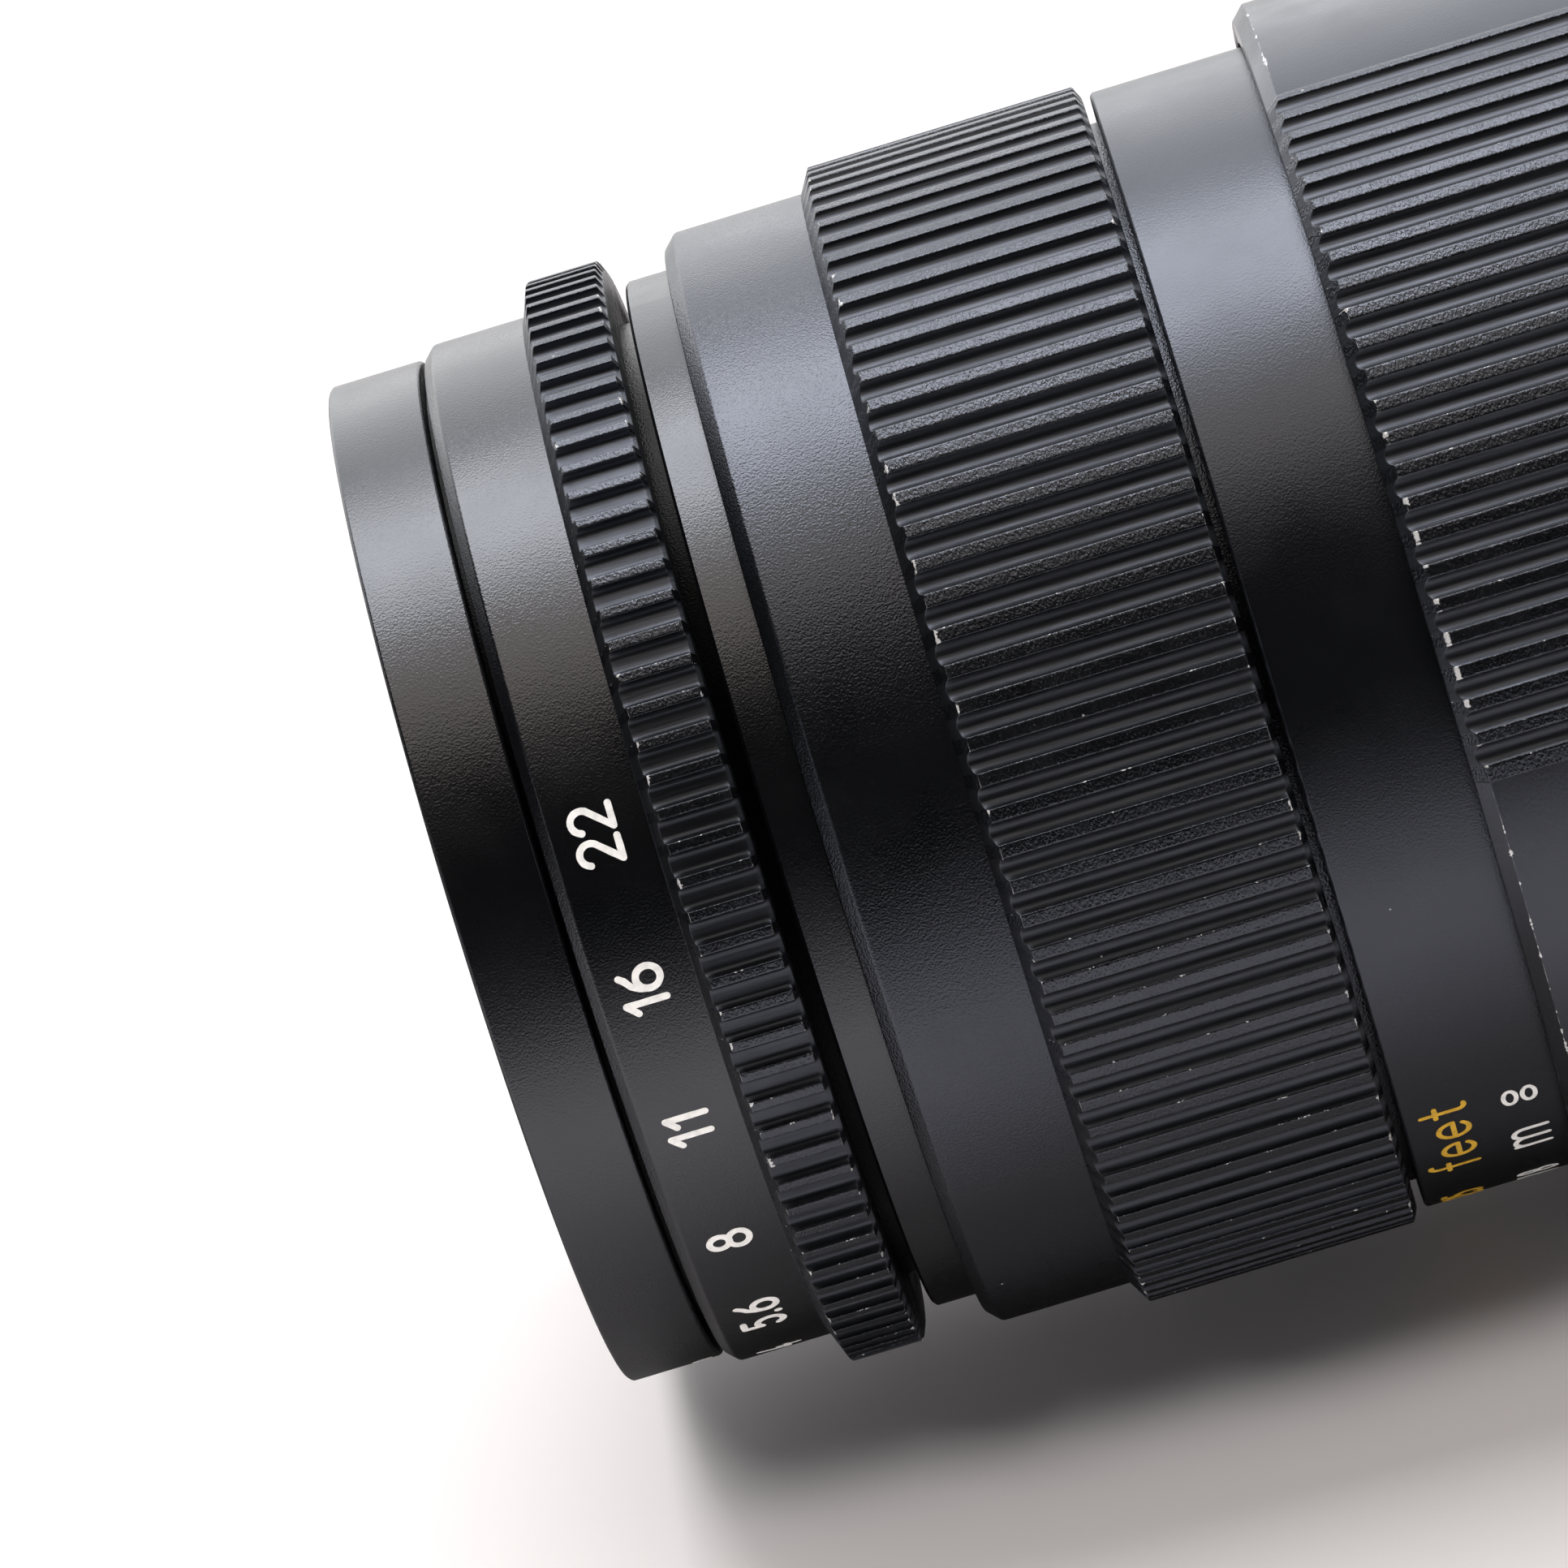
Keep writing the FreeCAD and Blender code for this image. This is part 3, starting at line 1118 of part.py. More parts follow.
def make_bead(station, stem_low):
    """The red bead that shows how the lens goes into the camera."""
    angle = bead_turn.value
    sine = math.sin(math.radians(angle))
    cosine = math.cos(math.radians(angle))
    spin = FreeCAD.Rotation(FreeCAD.Vector(1, 0, 0), angle)
    dome_low = stem_low + s.bead_stem
    stem = radial_pin("bead_stem", station, angle, stem_low, dome_low, s.bead_radius)
    dome = primitive("Sphere", "bead_dome", {"Radius": s.bead_radius}, x=station, y=dome_low * -sine,
                     z=dome_low * cosine, rotation=spin)
    dome.Angle1 = 0
    keep(boolean("Fuse", "alignment_bead", stem, dome), "alignment_bead")


def make_bayonet_mount():
    """The chromed mount: flange, register, four lugs, lock pin notch and screw holes."""
    start = mount_front
    bore = cam_radius + s.running
    flange_rear = start + s.flange_thickness
    register_rear = flange_rear + s.register_length
    body = turned("bayonet_mount", start, [
        (start, bore), (start, flange_radius), (flange_rear - s.edge_break * 2, flange_radius),
        (flange_rear, flange_radius - s.edge_break * 2), (flange_rear, s.register_radius),
        (register_rear, s.register_radius), (register_rear, bore)], turn=bead_turn)
    sketch = new_sketch(body, "lug_outline", "XY_Plane")
    lug_front = s.flange_thickness + s.lug_start
    root_radius = (s.register_radius + bore) / 2
    rectangle(sketch, lug_front, lug_front + s.lug_thickness, root_radius, lug_radius)
    lug = body.newObject("PartDesign::Revolution", "lug")
    lug.Profile = sketch
    lug.ReferenceAxis = (sketch, ["H_Axis"])
    lug.Angle = s.lug_angle.value
    bind(lug, "Angle", s.lug_angle)
    lug.Midplane = True
    polar(body, "lugs", [lug], LUGS)
    before = volume(body)
    sketch = new_sketch(body, "notch_outline", "YZ_Plane", offset=s.flange_thickness - s.notch_depth)
    half = s.notch_width / 2
    rectangle(sketch, half * -1, half, s.register_radius + s.sleeve_gap, flange_radius + half)
    pocket(body, sketch, "lock_notch", s.notch_depth * 2)
    check_cut(body, before)
    turn = screw_turn - bead_turn
    axial_hole(body, "screw_holes", mount_screw_radius, s.screw_shank_radius, None, s.flange_thickness,
               count=MOUNT_SCREWS, turn=turn)
    axial_hole(body, "screw_counterbores", mount_screw_radius, s.screw_head_radius,
               s.flange_thickness - s.screw_head_height - s.edge_break, s.screw_head_height + s.edge_break,
               count=MOUNT_SCREWS, turn=turn)
    keep(body)
    head_face = flange_rear - s.edge_break
    screws = []
    for number in range(MOUNT_SCREWS):
        screws.append(axial_screw(
            "mount_screw_%d" % number, head_face, mount_screw_radius,
            screw_turn.value + 360.0 / MOUNT_SCREWS * number, s.screw_head_radius, s.screw_head_height,
            s.screw_shank_radius, s.screw_shank_length + s.flange_thickness / 2 - s.screw_head_height,
            s.screw_slot))
    group("mount_screws", screws)


# The rangefinder cam follows the focusing turn with its own, slower travel.

def make_cam():
    start = cam_start
    body = turned("rangefinder_cam_sleeve", start, [
        (start, sleeve_bore), (start, cam_thread_radius), (cam_step, cam_thread_radius),
        (cam_step, cam_sleeve_radius), (web_rear, cam_sleeve_radius), (web_rear, cam_bore),
        (web_front, cam_bore), (web_front, sleeve_bore)], turn=barrel_turn)
    before = volume(body)
    slack = s.sleeve_gap + s.running
    low = key_start - rest_cam - slack - start
    high = key_start + s.key_length + s.cam_travel - rest_cam + slack - start
    half = s.key_width / 2 + s.running
    sketch = new_sketch(body, "key_slot_outline", "XY_Plane", offset=tube_bore - s.running)
    rectangle(sketch, low, high, half * -1, half)
    pocket(body, sketch, "key_slot", tube_radius)
    check_cut(body, before)
    keep(body)
    tip_rear = s.cam_reach - rest_cam
    keep(turned("rangefinder_cam", web_rear, [
        (web_rear, cam_bore), (web_rear, cam_radius), (tip_rear - s.edge_break * 2, cam_radius),
        (tip_rear, cam_radius - s.edge_break * 2), (tip_rear, cam_bore)]))


make_front_rim()
make_front_optics()
make_head_barrel()
make_focus_lock_ring()
make_guide_tube(make_rear_optics())
make_iris()
make_click()
make_aperture_ring()
make_focus_parts()
make_rear_barrel()
make_fixed_helicoid()
make_guide_key()
make_infinity_stop()
make_base_ring()
make_bayonet_mount()
make_cam()
doc.recompute()

for item in doc.Objects:
    if "Invalid" in item.State or "Error" in item.State:
        raise RuntimeError("%s did not build" % item.Label)
for item in nodes:
    if item.Shape.isNull() or not item.Shape.isValid():
        raise RuntimeError("%s has no valid shape" % item.Label)

os.makedirs("parts", exist_ok=True)
for item in nodes:
    item.Shape.exportStep("parts/%s.step" % item.Label)
print("%d sub-parts, volume %.1f mm3" % (len(nodes), sum(item.Shape.Volume for item in nodes)))
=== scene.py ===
import json
import math
import random

import bpy
import numpy as np
from mathutils import Matrix, Vector
from mathutils.geometry import delaunay_2d_cdt


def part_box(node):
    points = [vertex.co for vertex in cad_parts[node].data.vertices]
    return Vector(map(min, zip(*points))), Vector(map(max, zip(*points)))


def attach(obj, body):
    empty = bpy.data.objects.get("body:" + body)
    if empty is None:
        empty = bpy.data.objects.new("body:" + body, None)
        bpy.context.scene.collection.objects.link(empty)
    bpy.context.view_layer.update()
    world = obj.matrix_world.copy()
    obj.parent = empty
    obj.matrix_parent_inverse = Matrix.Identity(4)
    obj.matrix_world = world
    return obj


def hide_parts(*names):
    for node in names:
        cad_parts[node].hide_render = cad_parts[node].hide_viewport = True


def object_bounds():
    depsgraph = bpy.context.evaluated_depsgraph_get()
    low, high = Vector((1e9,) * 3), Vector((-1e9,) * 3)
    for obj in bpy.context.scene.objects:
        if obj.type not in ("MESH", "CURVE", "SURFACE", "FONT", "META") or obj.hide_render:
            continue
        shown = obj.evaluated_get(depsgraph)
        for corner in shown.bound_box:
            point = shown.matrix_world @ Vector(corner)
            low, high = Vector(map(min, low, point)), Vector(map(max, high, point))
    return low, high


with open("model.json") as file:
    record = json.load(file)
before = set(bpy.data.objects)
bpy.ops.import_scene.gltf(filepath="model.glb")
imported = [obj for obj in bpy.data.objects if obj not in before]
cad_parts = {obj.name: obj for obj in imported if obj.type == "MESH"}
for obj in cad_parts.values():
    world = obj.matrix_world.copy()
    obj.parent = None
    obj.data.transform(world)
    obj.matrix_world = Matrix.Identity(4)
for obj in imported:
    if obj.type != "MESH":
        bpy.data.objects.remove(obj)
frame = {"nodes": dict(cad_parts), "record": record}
cad_low, cad_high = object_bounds()

MM = 0.001
FRONT = cad_low.x / MM


# Places on the lens. Lengths are in millimetres; an angle of 0 is the near side, 90 the top.

def span(node):
    low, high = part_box(node)
    return low.x / MM, high.x / MM


def spot(x, angle, radius):
    turn = math.radians(angle)
    return (x * MM, -radius * math.cos(turn) * MM, radius * math.sin(turn) * MM)


# Outlines. A corner is (x, radius), or (x, radius, cut) where it is soft and starts its bend that far away.

def towards(start, end, length):
    dx, dy = end[0] - start[0], end[1] - start[1]
    share = min(length / math.hypot(dx, dy), 0.49)
    return start[0] + dx * share, start[1] + dy * share


def rounded(corners, steps=4):
    """The points of a closed outline, with its soft corners bent round."""
    points = []
    for number, corner in enumerate(corners):
        if len(corner) == 2:
            points.append(corner)
            continue
        near = towards(corner, corners[number - 1], corner[2])
        far = towards(corner, corners[(number + 1) % len(corners)], corner[2])
        for step in range(steps + 1):
            t = step / steps
            weights = (1 - t) ** 2, 2 * t * (1 - t), t * t
            points.append(tuple(sum(w * p[axis] for w, p in zip(weights, (near, corner, far)))
                                for axis in (0, 1)))
    return points


# Pieces of the model.

def dress(obj, body, slot, material, *nodes):
    """Puts a piece on its body, in its material, in place of the frame's nodes."""
    obj.data.materials.append(material)
    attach(obj, body)
    if nodes:
        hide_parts(*nodes)
    return obj


def add_object(name, points, faces):
    mesh = bpy.data.meshes.new(name)
    mesh.from_pydata(points, [], faces)
    mesh.shade_smooth()
    obj = bpy.data.objects.new(name, mesh)
    bpy.context.scene.collection.objects.link(obj)
    return obj


def ring(name, angles, outlines, **marks):
    """A closed ring: one closed outline of (x, radius) points for each angle round the axis."""
    outline = np.array(outlines, dtype=float)
    turn = np.radians(np.array(angles, dtype=float))[:, None]
    x, radius = outline[:, :, 0], outline[:, :, 1]
    points = np.stack([x, -radius * np.cos(turn), radius * np.sin(turn)], axis=-1).reshape(-1, 3) * MM
    index = np.arange(len(points)).reshape(x.shape)
    along = np.roll(index, -1, axis=1)
    faces = np.stack([index, along, np.roll(along, -1, axis=0), np.roll(index, -1, axis=0)], axis=-1)
    faces = faces.reshape(-1, 4)
    obj = add_object(name, points.tolist(), faces.tolist())
    corner = points[faces]
    area = np.cross(corner[:, 2] - corner[:, 0], corner[:, 3] - corner[:, 1])
    normals = np.zeros_like(points)
    for number in range(4):
        np.add.at(normals, faces[:, number], area)
    normals /= np.maximum(np.linalg.norm(normals, axis=1), 1e-12)[:, None]
    obj.data.normals_split_custom_set_from_vertices(normals.tolist())
    for mark, values in marks.items():
        layer = obj.data.attributes.new(mark, "FLOAT", "POINT")
        spread = np.repeat(np.array(values, dtype=float), x.shape[1])
        layer.data.foreach_set("value", spread)
    return obj


def lathe(name, corners, count=480):
    """A ring turned from one outline: its outside from front to rear, then its inside back."""
    outline = rounded(corners)
    angles = [360.0 / count * number for number in range(count)]
    return ring(name, angles, [outline] * count)


# The side of a groove starts EDGE_CUT below its edge, and two columns beside the edge keep the land flat.
# Three marks steer the wear: land is 1 on the ribs and 0 on a groove's floor, edge is the distance from the
# nearest edge, and the third says how much bare metal that edge gets. The edge at the smaller angle gets
# most: partly wear, partly a painted highlight on the edge that faces the lamps above.
EDGE_CUT, LAND_HOLD = 0.03, 0.1
RUBBED_AND_LIT, SHELTERED_AND_UNLIT = 1.0, 0.2
FAR_FROM_EDGES = 0.5


def groove_section(pitch, depth, mouth, flat, steps=14):
    """One pitch of ribs across a groove with a flat or a round floor, as (offset, height) points."""
    radius = (mouth * mouth / 4 + depth * depth) / (2 * depth)
    reach = math.asin(mouth / 2 / radius)
    groove = []
    for step in range(steps + 1):
        across = 2 * step / steps - 1
        if flat:
            share = math.sin(math.pi / 2 * across)
            groove.append((mouth / 2 * share, -depth * math.sqrt(max(0.0, 1 - share ** 4))))
        else:
            turn = reach * across
            groove.append((radius * math.sin(turn), radius * (1 - math.cos(turn)) - depth))
    groove[0] = (-mouth / 2, -EDGE_CUT)
    groove[-1] = (mouth / 2, -EDGE_CUT)
    near, far = mouth / 2 + EDGE_CUT, mouth / 2 + LAND_HOLD
    return [(-pitch / 2, 0), (-far, 0), (-near, 0)] + groove + [(near, 0), (far, 0)]


def ribbed_columns(centres, radius, pitch, depth, mouth, flat=False):
    """The columns across each groove: angle, height, land, edge, and the edge's wear with its painted
    highlight.
    """
    columns = []
    for centre in centres:
        for offset, height in groove_section(pitch, depth, mouth, flat):
            angle = centre + math.degrees(offset / radius)
            edge = math.hypot(abs(offset) - mouth / 2, height)
            # The edge at the smaller angle gets most bare metal: real wear and a painted highlight.
            lip = RUBBED_AND_LIT if offset < 0 else SHELTERED_AND_UNLIT
            columns.append((angle, height, 1 + height / depth, edge, lip))
    return columns


def smooth_columns(start, end, count):
    """The columns of the smooth stretch between two angles, without its ends."""
    return [(start + (end - start) * step / count, 0, 1, FAR_FROM_EDGES, 0) for step in range(1, count)]


def ribbed_ring(name, columns, outline):
    """outline(height) gives the corners of a column whose surface lies at that height, 0 on the lands."""
    made = {}
    outlines = []
    for column in columns:
        key = round(column[1], 5)
        if key not in made:
            made[key] = rounded(outline(key))
        outlines.append(made[key])
    angles, _, land, edge, lip = zip(*columns)
    return ring(name, angles, outlines, land=land, edge=edge, lip=lip)


# Materials. Texture sizes are per metre of the object's own coordinates.

def feed(tree, socket, value):
    """Links a socket to another node's output, or gives it a plain value."""
    if isinstance(value, bpy.types.NodeSocket):
        tree.links.new(value, socket)
    else:
        socket.default_value = value


def add_node(tree, kind, inputs=None, **settings):
    node = tree.nodes.new(kind)
    for key, value in settings.items():
        setattr(node, key, value)
    for key, value in (inputs or {}).items():
        feed(tree, node.inputs[key], value)
    return node


class Paint:
    """A node material with one main shader."""

    def __init__(self, name, colour, roughness, **sockets):
        self.material = bpy.data.materials.new(name)
        self.material.use_nodes = True
        self.tree = self.material.node_tree
        self.shader = self.tree.nodes["Principled BSDF"]
        self.set("Base Color", (*colour, 1))
        self.set("Roughness", roughness)
        for socket, value in sockets.items():
            self.set(socket.replace("_", " "), value)
        self.place = self.add("ShaderNodeTexCoord").outputs["Object"]

    def set(self, socket, value):
        feed(self.tree, self.shader.inputs[socket], value)

    def add(self, kind, inputs=None, **settings):
        return add_node(self.tree, kind, inputs, **settings)

    def math(self, operation, first, second=0.0):
        return self.add("ShaderNodeMath", {0: first, 1: second}, operation=operation).outputs[0]

    def product(self, first, *others):
        for other in others:
            first = self.math("MULTIPLY", first, other)
        return first

    def coordinates(self):
        return self.add("ShaderNodeSeparateXYZ", {"Vector": self.place}).outputs

    def stretch(self, scale):
        return self.add("ShaderNodeMapping", {"Vector": self.place, "Scale": scale}).outputs[0]

    def noise(self, scale, detail=2.0, stretched=None):
        vector = self.place if stretched is None else self.stretch(stretched)
        inputs = {"Vector": vector, "Scale": scale, "Detail": detail}
        return self.add("ShaderNodeTexNoise", inputs).outputs["Fac"]

    def spread(self, value, low, high, to_low, to_high):
        node = self.add("ShaderNodeMapRange", {"Value": value, "From Min": low, "From Max": high,
                                               "To Min": to_low, "To Max": to_high})
        return node.outputs["Result"]

    def within(self, distance, limit, soft):
        """1 where a distance is under its limit, over a soft edge."""
        return self.spread(self.math("SUBTRACT", distance, limit), 0.0, -soft, 0, 1)

    def blend(self, share, first, second):
        node = self.add("ShaderNodeMix", {"Factor": share}, data_type="RGBA")
        for socket, value in zip(node.inputs[6:8], (first, second)):
            feed(self.tree, socket, value if isinstance(value, bpy.types.NodeSocket) else (*value, 1))
        return node.outputs[2]

    def bump(self, height, strength, distance):
        node = self.add("ShaderNodeBump", {"Height": height, "Strength": strength, "Distance": distance})
        self.set("Normal", node.outputs[0])

    def mark(self, name):
        return self.add("ShaderNodeAttribute", attribute_name=name).outputs["Fac"]

    def dust(self, scale, size, share):
        """Sparse specks, one in some cells of a cell pattern."""
        cell = self.add("ShaderNodeTexVoronoi", {"Vector": self.place, "Scale": scale})
        speck = self.spread(cell.outputs["Distance"], size, size * 0.6, 0, 1)
        chosen = self.add("ShaderNodeSeparateColor", {"Color": cell.outputs["Color"]}).outputs[0]
        return self.product(speck, self.math("LESS_THAN", chosen, share))


BLACK = (0.0017, 0.0018, 0.0023)
BARE = (0.62, 0.61, 0.6)
DUST = (0.34, 0.33, 0.32)
ANODIC = {"IOR": 1.9, "Specular_Tint": (0.88, 0.91, 1.0, 1)}
ANODIC_BLUE = {"IOR": 1.9, "Specular_Tint": (0.78, 0.84, 1.0, 1)}


def anodised(name, grain=0.2, roughness=0.27, lathe_lines=0.0, dust_share=0.05, layer=ANODIC):
    """Satin black: fine blasted grain, faint turning lines, patchy polish and a few dust specks."""
    paint = Paint(name, BLACK, roughness, **layer)
    patch = paint.noise(260, 3)
    paint.set("Roughness", paint.spread(patch, 0.3, 0.7, roughness - 0.035, roughness + 0.045))
    speck = paint.dust(900, 0.055, dust_share)
    paint.set("Base Color", paint.blend(speck, BLACK, DUST))
    fine = paint.noise(11000, 1)
    if lathe_lines:
        lines = paint.noise(900, 3, stretched=(14, 0.4, 0.4))
        fine = paint.math("ADD", fine, paint.product(lines, lathe_lines))
    paint.bump(fine, grain, 0.00008)
    return paint


# Wear on the ribs. Sizes are in millimetres, and the two heights where bars grow and end are in metres.
DASH_WIDTH = 0.05
FRONT_CHIP, REAR_CHIP = 0.18, 0.12
BAR_LENGTH, BAR_WIDTH = 0.5, (0.07, 0.11)
BARS_GROW, BARS_END = (0.003, 0.005), (0.014, 0.018)


def millimetres_from(paint, x, place):
    return paint.product(paint.math("ABSOLUTE", paint.math("SUBTRACT", x, place * MM)), 1000)


def bare_edges(paint, edge, lip, fine):
    """Dashes and a patchy hairline of bare metal along the edges of the grooves: wear, and on the edges at
    the smaller angle also a painted highlight.
    """
    active = paint.spread(paint.noise(330, 2), 0.42, 0.62, 0, 0.07)
    run = paint.math("ADD", paint.noise(2300, 3, stretched=(0.8, 1, 1)), active)
    width = paint.product(paint.spread(run, 0.6, 0.7, 0, DASH_WIDTH), fine)
    dash = paint.within(edge, paint.product(lip, width), 0.012)
    patchy = paint.spread(paint.noise(1500, 3), 0.4, 0.62, 0.02, 0.3)
    hairline = paint.product(paint.spread(edge, 0.012, 0.03, 1, 0), lip, patchy)
    return paint.math("MAXIMUM", dash, hairline)


def bare_ends(paint, x, ends, edge, on_land, fine):
    """Chips of bare metal at the ends of the lands, deepest at their corners."""
    corner = paint.spread(edge, 0.0, 0.28, 1, 0.5)
    rough = paint.spread(paint.noise(1900, 2), 0.45, 0.62, 0, 0.01)
    chips = 0.0
    for end, depth, scale in ends:
        reach = paint.product(paint.spread(paint.noise(scale, 2), 0.57, 0.68, 0, depth), fine, corner)
        reach = paint.product(paint.math("ADD", reach, rough), on_land)
        chip = paint.within(millimetres_from(paint, x, end), reach, 0.014)
        chips = paint.math("MAXIMUM", chips, chip)
    return chips


def bare_bars(paint, x, z, front, edge, lip, fine):
    """Bars of bare metal along the front ends of the lands, on a stretch above the axis."""
    height = paint.math("MINIMUM", paint.spread(z, *BARS_GROW, 0, 1), paint.spread(z, *BARS_END, 1, 0))
    length = paint.product(paint.spread(paint.noise(620, 1), 0.4, 0.56, 0, BAR_LENGTH), height, lip)
    width = paint.spread(fine, 0, 1, *BAR_WIDTH)
    beyond = paint.math("SUBTRACT", millimetres_from(paint, x, front), width)
    return paint.product(paint.within(edge, length, 0.04), paint.spread(beyond, 0.02, -0.02, 0, 1))


def worn_ribs(name, front, rear, bars=False):
    """Satin black ribs: blasted lands, machined grooves, bare metal along edges and land ends, on the edges
    partly a painted highlight.
    """
    paint = Paint(name, BLACK, 0.3, **ANODIC_BLUE)
    x, _, z = paint.coordinates()
    behind_ribs = paint.spread(x, (rear + 0.2) * MM, (rear + 0.45) * MM, 0, 1)
    land = paint.math("MAXIMUM", paint.mark("land"), behind_ribs)
    on_land = paint.math("GREATER_THAN", land, 0.85)
    edge = paint.mark("edge")
    # Bare metal goes mostly to one edge of each groove: wear, and a painted highlight on the edge that
    # faces the light.
    lip = paint.product(paint.mark("lip"), paint.math("SUBTRACT", 1.0, behind_ribs))

    leather = paint.noise(8200, 2, stretched=(1.4, 0.8, 0.8))
    leather = paint.product(leather, paint.spread(lip, 0.0, 0.1, 0.12, 1))
    streak = paint.product(paint.noise(5200, 3, stretched=(0.05, 1, 1)), 0.35)
    height = paint.add("ShaderNodeMix", {"Factor": on_land, 2: streak, 3: leather}).outputs[0]
    paint.bump(height, 1.0, 0.00005)

    fine = paint.spread(paint.noise(9500, 2), 0.35, 0.62, 0.15, 1)
    ends = (front, FRONT_CHIP, 1400), (rear, REAR_CHIP, 1700)
    wear = paint.math("MAXIMUM", bare_edges(paint, edge, lip, fine),
                      bare_ends(paint, x, ends, edge, on_land, fine))
    if bars:
        bar = paint.product(bare_bars(paint, x, z, front, edge, lip, fine), on_land)
        wear = paint.math("MAXIMUM", wear, bar)
    dusty = paint.blend(paint.dust(1000, 0.07, 0.14), BLACK, DUST)
    paint.set("Base Color", paint.blend(wear, dusty, BARE))
    paint.set("Metallic", paint.product(wear, 0.25))
    patch = paint.spread(paint.noise(420, 3), 0.3, 0.7, 0.23, 0.33)
    paint.set("Roughness", paint.math("ADD", patch, paint.spread(land, 0.85, 0.6, 0, 0.16)))
    return paint.material


def turned_metal(name, colour, roughness, lines=0.35):
    paint = Paint(name, colour, roughness, Metallic=1.0)
    cuts = paint.noise(1500, 3, stretched=(12, 0.3, 0.3))
    paint.bump(cuts, lines, 0.00001)
    patch = paint.noise(300, 3)
    paint.set("Roughness", paint.spread(patch, 0.3, 0.7, roughness - 0.05, roughness + 0.07))
    darker = tuple(channel * 0.82 for channel in colour)
    paint.set("Base Color", paint.blend(paint.spread(patch, 0.35, 0.65, 0, 1), colour, darker))
    return paint.material


def filled_mark(name, colour):
    """Engraving paint: slightly uneven and dusty."""
    paint = Paint(name, colour, 0.55)
    patch = paint.noise(2600, 3)
    darker = tuple(channel * 0.8 for channel in colour)
    paint.set("Base Color", paint.blend(paint.spread(patch, 0.42, 0.7, 0, 1), colour, darker))
    paint.bump(paint.noise(7000, 2), 0.25, 0.00002)
    return paint.material


def coated_glass():
    paint = Paint("coated_glass", (0.96, 0.97, 0.98), 0.015, Transmission_Weight=1.0, IOR=1.6,
                  Specular_Tint=(0.8, 0.72, 1.0, 1))
    film = paint.noise(90, 2)
    paint.set("Roughness", paint.spread(film, 0.3, 0.7, 0.008, 0.03))
    return paint.material


smooth_black = anodised("anodised_black", lathe_lines=0.1).material
band_black = anodised("anodised_band", lathe_lines=0.1, dust_share=0.08).material
sleeve_black = anodised("anodised_sleeve", grain=0.15, roughness=0.3, dust_share=0.03,
                        layer=ANODIC_BLUE).material
inner_black = anodised("inner_black", grain=0.3, roughness=0.55, lathe_lines=0.8).material
steel = turned_metal("steel", (0.42, 0.42, 0.43), 0.32)
blued_steel = turned_metal("blackened_steel", (0.03, 0.03, 0.035), 0.4)
brass = turned_metal("brass", (0.6, 0.43, 0.19), 0.35)
chrome = turned_metal("satin_chrome", (0.66, 0.66, 0.65), 0.24, lines=0.5)
glass = coated_glass()
white_fill = filled_mark("white_fill", (0.9, 0.88, 0.85))
yellow_fill = filled_mark("yellow_fill", (0.68, 0.39, 0.03))
red_bead = Paint("red_bead", (0.55, 0.012, 0.015), 0.18, Coat_Weight=0.6)
red_bead.bump(red_bead.noise(1800, 2), 0.1, 0.00002)

# The head barrel is satin on its neck. Nearer to the axis, in the recess, its reflections are tinted
# near-black: painted shade in the recess.
PAINTED_RECESS_SHADE_TO, NECK_FROM = 21.2, 21.4
neck_with_painted_recess_shade = anodised("anodised_neck_painted_recess_shade", lathe_lines=0.1)
from_axis = neck_with_painted_recess_shade.add("ShaderNodeVectorMath", {0: neck_with_painted_recess_shade.stretch((0, 1, 1))}, operation="LENGTH")
outside_painted_recess_shade = neck_with_painted_recess_shade.spread(from_axis.outputs["Value"], PAINTED_RECESS_SHADE_TO * MM, NECK_FROM * MM, 0, 1)
# Painted shade: a near-black specular tint in the recess, full up to the first radius and gone beyond the
# second.
neck_with_painted_recess_shade.set("Specular Tint", neck_with_painted_recess_shade.blend(outside_painted_recess_shade, (0.02, 0.02, 0.02), ANODIC["Specular_Tint"][:3]))

SLOT_PAINT = {"black_anodised": smooth_black, "black_inner": inner_black, "brass": brass,
              "steel": steel, "blackened_steel": blued_steel, "chrome": chrome,
              "coated_glass": glass, "red_paint": red_bead.material}
for part in frame["record"]["subparts"]:
    node = frame["nodes"][part["node"]]
    node.data.materials.clear()
    node.data.materials.append(SLOT_PAINT[part["material_slot"]])
frame["nodes"]["head_barrel"].data.materials[0] = neck_with_painted_recess_shade.material


# The pieces: radii and cuts in millimetres, stations from the boxes of the CAD nodes.
# The front rim, with the ridges of the filter thread inside it.

RIM, RIM_CUT = 21.0, 0.12
SPIGOT, RIM_BORE = 19.1, 18.5
THREAD, THREAD_DEPTH, THREAD_PITCH = 19.23, 0.26, 0.5
THREAD_MOUTH, THREAD_RIDGES = 0.3, 5
rim_front, rim_rear = span("front_rim")
spigot_front = rim_front + 3.83
thread_rear = rim_front + 3.0
outline = [(rim_front, THREAD + THREAD_MOUTH, 0.05), (rim_front, RIM - RIM_CUT, 0.05),
           (rim_front + RIM_CUT, RIM, 0.05), (spigot_front - RIM_CUT, RIM, 0.05),
           (spigot_front, RIM - RIM_CUT, 0.05), (spigot_front, SPIGOT), (rim_rear, SPIGOT),
           (rim_rear, RIM_BORE), (thread_rear, RIM_BORE), (thread_rear, THREAD)]
for ridge in range(THREAD_RIDGES, 0, -1):
    root = rim_front + THREAD_MOUTH + ridge * THREAD_PITCH
    outline += [(root, THREAD + THREAD_DEPTH / 2, 0.03),
                (root - THREAD_PITCH / 2, THREAD - THREAD_DEPTH / 2, 0.03)]
outline.append((rim_front + THREAD_MOUTH, THREAD + 0.05, 0.03))
dress(lathe("front_rim_turned", outline), "lens_head", "black_anodised", smooth_black, "front_rim")


